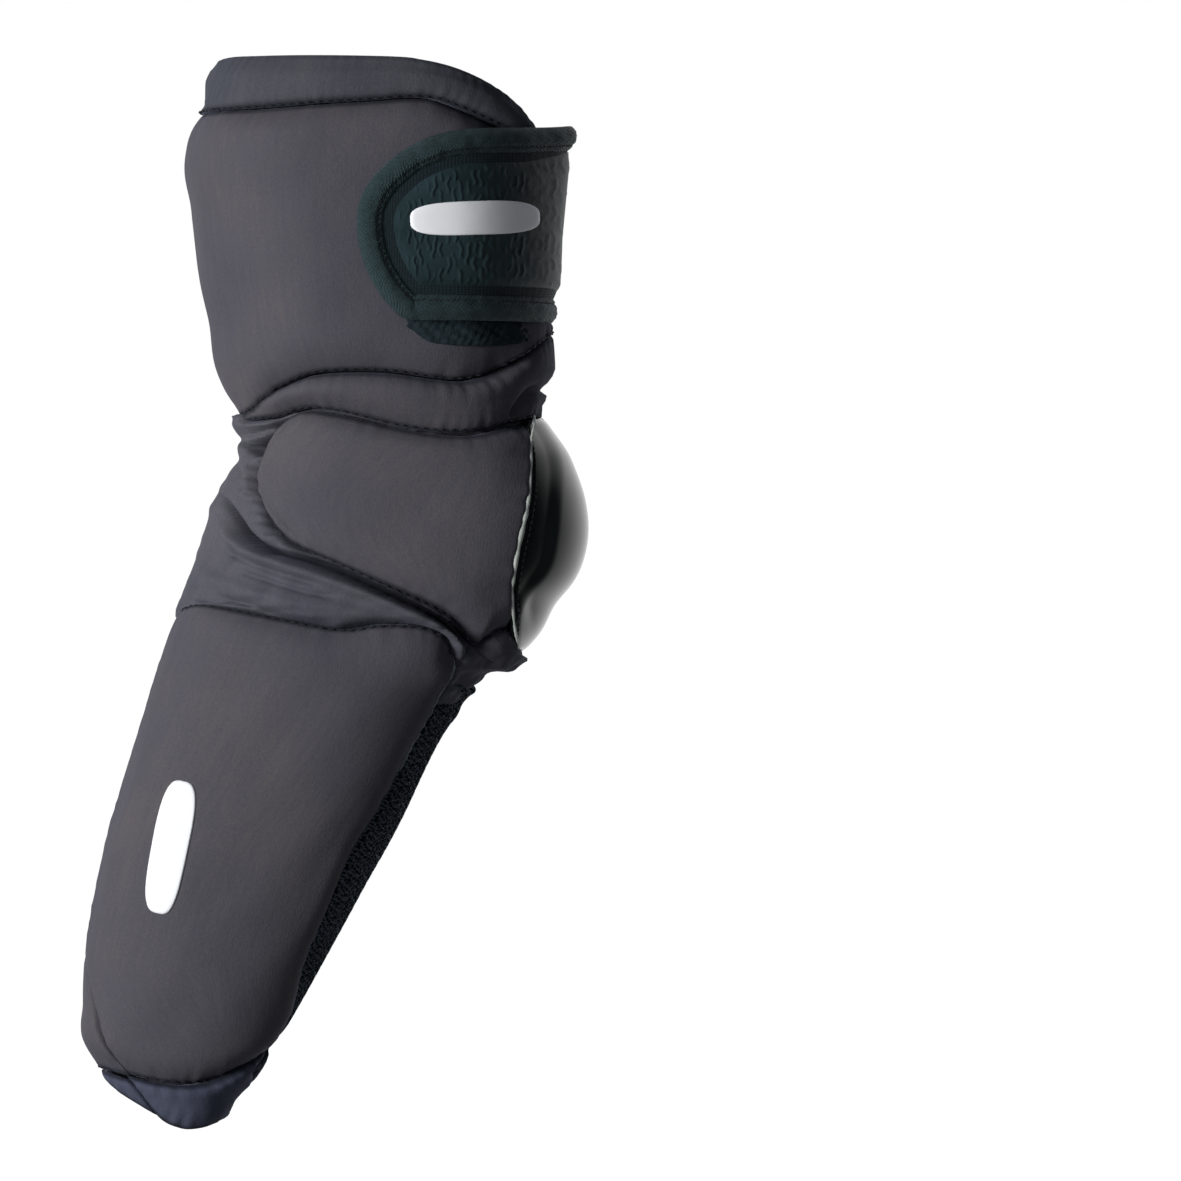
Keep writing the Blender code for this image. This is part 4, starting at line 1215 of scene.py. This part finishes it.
def build_forearm():
    """Forearm pads, the mesh back, the lining and the wrist flaps."""
    bulge_line = outline_at(FORE_BULGE, np.linspace(0.0, 1.0, 200))

    def bulge(points, distance, along):
        z = points[..., 2]
        centre = np.interp(-z, -STATIONS[:, 1], (STATIONS[:, 0] + STATIONS[:, 2]) / 2.0)
        crook = ease((centre - 14.0 - points[..., 0]) / 34.0)
        return crook * np.interp(z, bulge_line[:, 0], bulge_line[:, 1])

    def top_corner(points):
        """The pad stays thick at its ends by the crook, at the wrist only the inner one."""
        x = points[..., 0]
        z = points[..., 2]
        wrist = ease((-92.0 - x) / 10.0) * ease((-370.0 - z) / 12.0) * ease((points[..., 1] + 18.0) / 8.0)
        return 1.0 - 0.75 * ease((-56.0 - x) / 14.0) * ease((z + 240.0) / 16.0) - 0.8 * wrist

    def seam_depth(x):
        return 4.6 - 3.0 * ease((-50.0 - x) / 30.0)

    def tucked(points, distance, along):
        """The inner pad's edge goes under the outer pad's."""
        return -7.5 * under(points, FORE_FRONT)

    for side, inner in (("_outer", False), ("_inner", True)):
        top, back_edge, end, front = (edge(line, inner, seam_depth)
                                      for line in (FORE_TOP, FORE_BACK, FORE_END, FORE_FRONT))
        if inner:
            stations = front
            top = round_to(top, -192.0)
            end = wrapped_edge(FORE_END + FORE_CROOK_END, FORE_CROOK_END[::-1] + [(-97.8, -393.6)],
                               seam_depth)
            corner = end(np.array(1.0))

            def front(t):
                turn = 192.0 - (192.0 + corner[1]) * ease((np.asarray(t) - 0.55) / 0.45)
                late = ease((np.asarray(t) - 0.8) / 0.2)
                station = stations(t)[..., 0] * (1.0 - late) + corner[0] * late
                return np.stack((station, -turn), -1)

        place = patch(top, back_edge, end, front)
        relief = (wavy, bulge, pucker(51, 0.4, 4.0, 6.5)) + ((tucked,) if inner else ())
        panel = Panel(place, False, 5.6, (13.0, 6.0, 12.0, 10.0), relief, 0.3,
                      (1.0, 0.6, 1.0, 0.5), top_corner)

        def back(u, v, spot):
            return pad_depth(spot[..., 0]) - 0.3 - 5.0 * inner * ease((-spot[..., 1] - 186.0) / 20.0)

        name = "forearm_pad" + side
        pad = panel.build(name, PAD_GRID, back, FABRIC)
        stand_for(pad, "forearm", "forearm_cover" + side, "forearm_foam" + side)
        for part, start, end in (("_top", (0.0, 0.0), (1.0, 0.0)), ("_end", (0.0, 1.0), (1.0, 1.0))):
            sew(panel, name + part + "_stitches", "forearm", start, end)
        t = np.linspace(0.015, 0.30, 90)
        cord = panel.surface(np.full(t.shape, 0.6 / panel.length), t, 0.1)
        fuzz = 0.55 + 0.22 * waves(13, (5.0, 2.5), (1.0, 0.5))(cord)
        taper = ease(np.minimum(t - 0.01, 0.31 - t) / 0.03)
        if not inner:
            badge("forearm_mark", (-78.5, -305.5), (-10.0, -51.0), 52.0, 13.0, panel.depth_at, 0.8,
                  "forearm", "forearm_badge")
        piping = joined("forearm_piping" + side, [tube_mesh(cord, np.clip(fuzz, 0.3, 0.9) * taper)], PIPING)
        rest_on(piping, "forearm")
    build_mesh_panel()
    build_lining()
    build_flaps()


def build_mesh_panel():
    """Open spacer mesh on the back of the forearm: diamond lattice over a dark backing."""
    line = edge([(x - 0.2, z) for x, z in FORE_BACK[2:]], False, 4.0)

    def place(u, v):
        spot = line(v)
        return np.stack((spot[..., 0], (2.0 * u - 1.0) * spot[..., 1]), -1)

    panel = Panel(place, False, 4.4, (5.0, 9.0, 14.0, 9.0), (), 0.3)
    u, v = grid(int(panel.length / MESH_SPACING), int(panel.height / MESH_SPACING))
    spot = place(u, v)
    along = v * panel.height
    across = (u - 0.5) * panel.length
    zigzag = 0.8 * np.abs((along / MESH_CELL) % 1.0 - 0.5) * 2.0
    column = np.abs(((across + zigzag) / 2.1) % 1.0 - 0.5) * 2.0
    slant = np.abs(((across * 0.9 + along) / MESH_CELL) % 1.0 - 0.5) * 2.0
    rib = np.maximum(column, slant * 0.93)
    height = 1.8 * ease((rib - 0.45) / 0.45)
    fall = panel.base(u, v)[..., 2]
    slim = 1.7 * ease((-286.0 - fall) / 40.0) + 4.5 * ease((fall + 256.0) / 8.0)
    depth = panel.depth(u, v) + 1.6 - height + slim
    mesh = shell("mesh_lattice", spot, depth, np.maximum(depth + 0.5, 6.0),
                 (u * panel.length, -v * panel.height), MESH_CLOTH)
    mesh.data.materials.append(MESH_BACKING)
    level = (height[:-1, :-1] + height[1:, 1:]) / 2.0
    low_faces = np.zeros(len(mesh.data.polygons), np.int32)
    low_faces[:level.size] = (level < 0.9).ravel()
    mesh.data.polygons.foreach_set("material_index", low_faces)
    stand_for(mesh, "forearm", "mesh_panel")


def build_lining():
    """Smooth inner sleeves, seen through the two openings."""
    rim_top = ring_edge(RIM_TOP)

    def upper(station, angle, points):
        return PAD + 0.1 + 1.2 * ease((station - rim_top(angle)) / 0.5)

    lining = sleeve_tube("upper_lining_sleeve", lambda a: rim_top(a) + 0.18, 5.35, upper, 1.2, 2.6,
                         LINING)
    stand_for(lining, "upper_arm", "upper_lining")

    def lower(station, angle, points):
        return pad_depth(station) + 1.4

    tube = sleeve_tube("forearm_lining_sleeve", 12.3, 17.0, lower, 1.2, 2.4, FABRIC_THIN)
    stand_for(tube, "forearm", "forearm_lining")


def build_flaps():
    """Padded wrist flaps below the forearm pads."""
    for name, top, end, inner in (("wrist_flap_outer", FLAP_TOP, FLAP_END, False),
                                  ("wrist_flap_inner", INNER_FLAP_TOP, INNER_FLAP_END, True)):
        lines = [edge(line, inner, 2.0) for line in (top, [top[0], end[0]], end, [top[-1], end[-1]])]
        if inner:
            lines[0] = wrapped_edge(top, top[:-4:-1], 2.0)
            lines[2] = wrapped_edge(end, end[:-6:-1], 2.0)
            first = lines[0](np.array(1.0))
            final = lines[2](np.array(1.0))
            lines[3] = lambda t: first + (final - first) * np.asarray(t)[..., None]
        place = patch(*lines)

        def tucked(points, distance, along, inner=inner):
            """Outwards at the crook, and the inner flap's edge goes under the outer flap."""
            if not inner:
                return 0.0 * distance
            return 0.8 - 4.5 * under(points, FLAP_FRONT)

        def firm_end(points):
            return 1.0 - 0.6 * ease((-92.0 - points[..., 0]) / 10.0)

        relief = (wavy, tucked, pucker(61, 0.4, 5.0, 5.0))
        panel = Panel(place, False, 3.4, (5.0, 4.0, 8.0, 5.0), relief, 0.35, scale=firm_end)
        flap = panel.build(name + "_pad", SMALL_GRID, 6.6 + 0.9 * inner, FABRIC_WRIST)
        stand_for(flap, "forearm", name)


# ---- Strap -------------------------------------------------------------------------------------

def fold_depth(base):
    """Depth along the strap: on the pressed-in pads, then out to the fold behind the arm."""
    def at(spot):
        points = sleeve(spot[..., 0], spot[..., 1], 0.0)
        back = sleeve(spot[..., 0], 0.0 * spot[..., 1], 0.0)
        fall = np.clip((STRAP_TOP - back[..., 2]) / (STRAP_TOP - STRAP_BOTTOM), 0.0, 1.0)
        fold_x = FOLD_TOP_X + (FOLD_BOTTOM_X - FOLD_TOP_X) * fall - 0.6 * (base - STRAP_FACE)
        fold_x = fold_x - 7.5 * ease((fall - 0.78) / 0.18)
        pressed = 2.2 * ease((fall - 0.8) / 0.12) * (1.0 - ease((np.abs(spot[..., 1]) - 10.0) / 60.0))
        depth = base + STRAP_PRESS * (points[..., 1] < 0.0) * ease((points[..., 0] - 28.0) / 34.0)
        depth = depth + STRAP_PRESS * (points[..., 1] >= 0.0) * ease((points[..., 0] + 48.0) / 34.0)
        depth = depth + pressed
        reach = 1.0 - ease((np.abs(spot[..., 1]) - 4.0) / 24.0)
        return depth - np.maximum(0.0, fold_x - back[..., 0] + depth) * reach

    return at


def tab_spot(x, z):
    """Sleeve position of the tab's fabric drawn at (x, z), wrapped to the fold past its end."""
    station, angle = locate(np.minimum(x, FOLD_START_X), z)
    share = np.clip((x - FOLD_START_X) / FOLD_RUN, 0.0, 1.0)
    back = locate(np.full(np.shape(z), 60.0), z)[0]
    return np.stack((station * (1.0 - share) + back * share, angle * (1.0 - share) + share), -1)


def tab_offset(margin):
    """Tab outline moved inwards: evenly spaced side-view points from fold top to fold bottom."""
    line = outline_at(TAB_OUTLINE, np.linspace(0.0, 1.0, 241))
    tangent = np.gradient(line, axis=0)
    tangent /= np.linalg.norm(tangent, axis=1)[:, None]
    inward = np.stack((-tangent[:, 1], tangent[:, 0]), -1)
    moved = line + inward * margin
    moved[:, 0] = np.where(line[:, 0] > 40.0, line[:, 0], moved[:, 0])
    t = np.linspace(0.0, 1.0, 241)

    def at(s):
        return np.stack((np.interp(s, t, moved[:, 0]), np.interp(s, t, moved[:, 1])), -1)

    return at


def tab_area(margin):
    """Map (u, v) to the inside of the tab's outline: u from the fold to the tip, v downwards."""
    line = tab_offset(margin)

    def at(u, v):
        upper = line(u * 0.5)
        lower = line(1.0 - u * 0.5)
        point = upper * (1.0 - v[..., None]) + lower * v[..., None]
        return tab_spot(point[..., 0] + 2.0 * (1.0 - ease(u / 0.2)), point[..., 1])

    return at


def slab(name, place, columns, rows, outer, inner, material, length, height):
    """Closed body between two depth functions of a map."""
    u, v = grid(columns, rows)
    spot = place(u, v)
    return shell(name, spot, outer(u, v, spot), inner(u, v, spot), (u * length, -v * height), material)


def rounded(u, v, length, height, radius, edges="uv"):
    """Drop of a rounded edge, 0 inside and radius at the very edge."""
    near = np.full(u.shape, np.inf)
    if "u" in edges:
        near = np.minimum(near, np.minimum(u, 1.0 - u) * length)
    if "v" in edges:
        near = np.minimum(near, np.minimum(v, 1.0 - v) * height)
    t = np.clip(near / radius, 0.0, 1.0)
    return radius * (1.0 - np.sqrt(np.maximum(0.0, 1.0 - (1.0 - t) ** 2)))


def hinge_on(obj, node):
    """Bake the object's placement into its mesh and hide the CAD node it stands for; it is not attached to
    a body.
    """
    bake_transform(obj)
    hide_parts(node)


def build_strap():
    """Rear strap, loop field and the tab with its binding, ribbed panel and plain mark."""
    stations = (float(locate(0.0, STRAP_TOP)[0]), float(locate(0.0, STRAP_BOTTOM)[0]))

    def anchor(u, v):
        angle = -0.8 + (STRAP_ANCHOR_ANGLE + 0.8) * u
        return np.stack((stations[0] + (stations[1] - stations[0]) * v, angle), -1)

    face = fold_depth(STRAP_FACE)
    under_face = fold_depth(STRAP_BACK)

    def anchor_face(u, v, spot):
        near = np.minimum(v, 1.0 - v) * STRAP_HEIGHT
        hem_roll = 0.8 * ease((STRAP_HEM - near) / 0.8)
        stitch_line = 0.35 * np.exp(-((near - STRAP_HEM + 1.6) / 0.5) ** 2)
        return face(spot) - hem_roll + stitch_line + rounded(u, v, 130.0, STRAP_HEIGHT, 1.4, "v")

    piece = slab("rear_strap", anchor, 110, 90, anchor_face, lambda u, v, s: under_face(s), STRAP,
                 130.0, STRAP_HEIGHT)
    stand_for(piece, "upper_arm", "strap_anchor")

    fuzz = waves(17, (3.0, 1.8), (0.22, 0.16))
    field_line = [(8.0, -99.0), (12.0, -104.5), (19.0, -109.6), (27.0, -111.6), (45.0, -112.0),
                  (57.0, -110.5)]

    def field(u, v):
        x = 12.0 + 50.0 * u
        bottom = outline_at(field_line, np.linspace(0.0, 1.0, 80))
        low = np.interp(x, bottom[:, 0], bottom[:, 1])
        station, angle = locate(x, FIELD_TOP + (low - FIELD_TOP) * v)
        return np.stack((station, angle), -1)

    def pile(u, v, spot):
        points = sleeve(spot[..., 0], spot[..., 1], 0.0)
        return cinch(points) - 0.6 - fuzz(points) + rounded(u, v, 50.0, 67.0, 1.2) * 0.6

    piece = slab("loop_pile_field", field, 90, 96, pile, lambda u, v, s: STRAP_PRESS + 1.4 + 0.0 * u, LOOP,
                 50.0, 67.0)
    stand_for(piece, "upper_arm", "loop_field")

    piece = slab("strap_tab_webbing", tab_area(0.6), 110, 56, lambda u, v, s: face(s),
                 lambda u, v, s: under_face(s), STRAP, 112.0, STRAP_HEIGHT)
    hinge_on(piece, "strap_webbing")

    whole = tab_area(5.0)
    hook_bumps = waves(19, (2.2, 1.4), (0.2, 0.15))

    def hook_place(u, v):
        return whole(0.25 + 0.75 * u, v)

    hook_back = fold_depth(HOOK_BACK)
    hook_face = fold_depth(HOOK_FACE)
    piece = slab("hook_patch_pad", hook_place, 70, 60, lambda u, v, s: hook_back(s),
                 lambda u, v, s: hook_face(s) - hook_bumps(sleeve(s[..., 0], s[..., 1], 0.0)), HOOKS,
                 80.0, 64.0)
    stand_for(piece, "strap_tab", "strap_hook_patch")

    build_grip_panel()
    build_binding()
    badge("strap_mark", (36.5, -63.0), (1.0, 0.05), 48.0, 13.0, strap_level, 1.0, "strap_tab",
          "strap_badge")


def strap_level(points):
    """Depth of the grip panel's flat middle."""
    return cinch(points) - 5.7


def stroke_field(across, along, seed):
    """Height of short wavy upright strokes in columns with random breaks."""
    draw = np.random.default_rng(seed)
    pitch = 2.35
    total = np.zeros(across.shape)
    for column in range(-2, 40):
        centre = column * pitch + draw.uniform(-0.3, 0.3)
        phase = draw.uniform(0.0, 2.0 * math.pi)
        wander = 0.45 * np.sin(along * 0.55 + phase) + 0.25 * np.sin(along * 1.3 + phase * 2.0)
        gap = np.abs(across - centre - wander)
        body = 1.0 - ease((gap - 0.2) / 0.45)
        shade = np.zeros(across.shape)
        start = draw.uniform(-6.0, 0.0)
        while start < 60.0:
            length = draw.uniform(4.0, 9.0)
            near = np.minimum(along - start, start + length - along)
            strength = draw.uniform(0.35, 1.0)
            shade = np.maximum(shade, strength * ease(near / 0.9 + 0.3) * (near > -0.4))
            start += length + draw.uniform(1.5, 5.0)
        total = np.maximum(total, body * shade)
    return total


def build_grip_panel():
    """Dark panel inside the binding with raised upright strokes."""
    margin = BINDING + 0.3
    place = tab_area(margin)
    base = fold_depth(GRIP_BASE)
    border = tab_offset(margin)(np.linspace(0.0, 1.0, 160))

    def relief(u, v, spot):
        points = sleeve(spot[..., 0], spot[..., 1], 0.0)
        near = distance_to(points[..., [0, 2]], border)[0]
        strokes = stroke_field(points[..., 0], -40.0 - points[..., 2], 23)
        swell = 1.7 * ease(near / 6.5)
        return base(spot) - swell - 0.42 * strokes * ease((near - 2.0) / 3.0)

    piece = slab("grip_panel", place, 230, 130, relief, lambda u, v, s: base(s) + 0.4,
                 PANEL_CLOTH, 82.0, 53.0)
    hinge_on(piece, "strap_grip_panel")


def build_binding():
    """Herringbone tape that is folded over the strap's edge, top, round end and bottom."""
    outside = tab_offset(-0.3)
    inside = tab_offset(BINDING)

    def place(u, v):
        line = outside(u) * (1.0 - v[..., None]) + inside(u) * v[..., None]
        return tab_spot(line[..., 0] + 2.0 * (1.0 - ease(np.minimum(u, 1.0 - u) / 0.1)), line[..., 1])

    bumps = waves(29, (12.0, 5.0), (0.16, 0.1))
    base = fold_depth(TAPE_BASE)

    def outer(u, v, spot):
        across = v * BINDING
        rise = 4.1 * np.clip(1.0 - np.abs((across - 4.6) / 5.5) ** 2.0, 0.0, 1.0) ** 0.75
        groove = 0.5 * np.exp(-((across - 7.4) / 0.5) ** 2)
        flip = np.where(across > 5.0, -1.15, 1.15) * (across - 5.0) + u * 262.0
        twill = 0.11 * np.sin(2.0 * math.pi * flip / 1.9) * ease((across - 0.6) / 0.8)
        points = sleeve(spot[..., 0], spot[..., 1], 0.0)
        return base(spot) - rise + groove - bumps(points) - twill

    piece = slab("binding_tape_edge", place, 760, 30, outer, lambda u, v, s: base(s) + 0.2, TAPE,
                 262.0, BINDING)
    hinge_on(piece, "strap_binding")
    seam = stitches("binding_stitches", binding_seam(outer, place), THREAD, *FINE_STITCH)
    hinge_on(seam, "strap_binding")


def binding_seam(outer, place):
    """Stitch line near the tape's inner edge."""
    def at(t, lift):
        u = 0.01 + 0.98 * np.asarray(t)
        v = np.full(u.shape, 0.74)
        spot = place(u, v)
        return sleeve(spot[..., 0], spot[..., 1], outer(u, v, spot) - lift)

    return at


def badge(name, centre, along, length, width, base, thick, body, node):
    """Plain raised lozenge with rounded ends and a soft edge; base gives the depth it lies at."""
    along = np.array(along) / np.linalg.norm(along)
    across = np.array((-along[1], along[0]))
    turn = np.linspace(0.0, 2.0 * math.pi, 96, endpoint=False)
    shape_x = np.sign(np.cos(turn)) * np.abs(np.cos(turn)) ** 0.62 * length / 2.0
    shape_y = np.sign(np.sin(turn)) * np.abs(np.sin(turn)) ** 0.62 * width / 2.0
    profile = [(share, -0.9) for share in (0.02, 0.15, 0.3, 0.46, 0.62, 0.78)]
    profile += [(1.0, -0.9), (1.0, thick * 0.6), (0.97, thick * 0.9), (0.92, thick)]
    profile += [(share, thick) for share in (0.78, 0.62, 0.46, 0.3, 0.15, 0.02)]
    points = []
    for share, height in profile:
        px = shape_x * share
        py = shape_y * share
        x = centre[0] + along[0] * px + across[0] * py
        z = centre[1] + along[1] * px + across[1] * py
        station, angle = locate(x, z)
        points.append(sleeve(station, angle, base(sleeve(station, angle, 0.0)) - height))
    faces = []
    count = len(turn)
    for layer in range(len(profile) - 1):
        for j in range(count):
            m = (j + 1) % count
            a = layer * count
            faces.append([a + j, a + m, a + count + m, a + count + j])
    faces.append(list(range((len(profile) - 1) * count, len(profile) * count)))
    faces.append(list(range(count - 1, -1, -1)))
    obj = joined(name, [(np.concatenate(points), faces)], WHITE)
    bm = bmesh.new()
    bm.from_mesh(obj.data)
    bmesh.ops.recalc_face_normals(bm, faces=bm.faces)
    bm.to_mesh(obj.data)
    bm.free()
    stand_for(obj, body, node)


# ---- Stage -------------------------------------------------------------------------------------

def build_stage():
    """Pale floor, soft lights, pale surroundings and the camera."""
    scene = bpy.context.scene
    scene.view_settings.view_transform = "Standard"
    world = bpy.data.worlds.new("studio")
    scene.world = world
    world.use_nodes = True
    n = Tree(world.node_tree)
    coords = n.add("TexCoord").outputs["Generated"]
    depth = n.add("SeparateXYZ", {0: coords}).outputs[1]
    behind = n.add("MapRange", {"Value": depth, "From Min": -0.4, "From Max": 0.8, "To Min": 0.01,
                                "To Max": 0.85}, interpolation_type="SMOOTHSTEP").outputs["Result"]
    path = n.add("LightPath").outputs
    mirrored = n.mix(path["Is Glossy Ray"], AMBIENT, behind)
    strength = n.mix(path["Is Camera Ray"], mirrored, 1.0)
    untinted = n.math("MAXIMUM", path["Is Camera Ray"], path["Is Glossy Ray"])
    tint = n.mix_colours(untinted, (*AMBIENT_TINT, 1.0), (1.0, 1.0, 1.0, 1.0))
    background = n.tree.nodes["Background"]
    n.tree.links.new(strength, background.inputs["Strength"])
    n.tree.links.new(tint, background.inputs["Color"])

    floor_mesh = bpy.data.meshes.new("floor")
    bm = bmesh.new()
    bmesh.ops.create_grid(bm, x_segments=1, y_segments=1, size=FLOOR_SIZE)
    bm.to_mesh(floor_mesh)
    bm.free()
    floor = link_mesh("floor", floor_mesh)
    floor.location = (0.0, 0.0, cad_low.z - FLOOR_GAP)
    floor.visible_glossy = False
    pale = Nodes("pale_floor", 0.9, Specular_IOR_Level=0.0)
    pale.shader.inputs["Base Color"].default_value = (0.12, 0.12, 0.12, 1.0)
    pale.shader.inputs["Emission Color"].default_value = (1.0, 1.0, 1.0, 1.0)
    lit = pale.add("LightPath").outputs["Is Camera Ray"]
    pale.link(pale.math("ADD", pale.math("MULTIPLY", lit, 0.9), 0.1), "Emission Strength")
    floor_mesh.materials.append(pale.material)

    middle = Vector(LIGHT_TARGET)

    def area(name, location, size, power, colour=(1.0, 1.0, 1.0)):
        light = bpy.data.lights.new(name, "AREA")
        light.shape = "RECTANGLE"
        light.size = size[0]
        light.size_y = size[1]
        light.energy = power
        light.color = colour
        obj = bpy.data.objects.new(name, light)
        obj.location = location
        obj.rotation_mode = "QUATERNION"
        obj.rotation_quaternion = (middle - Vector(location)).to_track_quat("-Z", "Y")
        obj.visible_glossy = False
        scene.collection.objects.link(obj)

    area("key", (-1.42, -1.25, 0.02), (0.6, 0.8), KEY_POWER, (1.0, 0.985, 0.97))
    area("front", (0.1, -2.0, 0.1), (1.0, 1.0), FRONT_POWER)
    area("back_left", (-1.0, 1.5, 0.3), (0.8, 1.2), BACK_POWER)
    area("back_right", (0.9, 1.6, 0.1), (0.8, 1.2), BACK_POWER)

    camera = bpy.data.cameras.new("camera")
    camera.lens = CAMERA_LENS
    camera.sensor_width = CAMERA_SENSOR
    camera.clip_end = 400.0
    distance = VIEW_WIDTH * CAMERA_LENS / CAMERA_SENSOR
    obj = bpy.data.objects.new("camera", camera)
    obj.location = (VIEW_X, -distance, VIEW_Z)
    obj.rotation_euler = (math.radians(90.0), 0.0, 0.0)
    scene.collection.objects.link(obj)
    scene.camera = obj


build_stage()
build_rim()
build_upper_pads()
build_band()
build_gusset()
build_wings()
build_cap()
build_forearm()
build_strap()
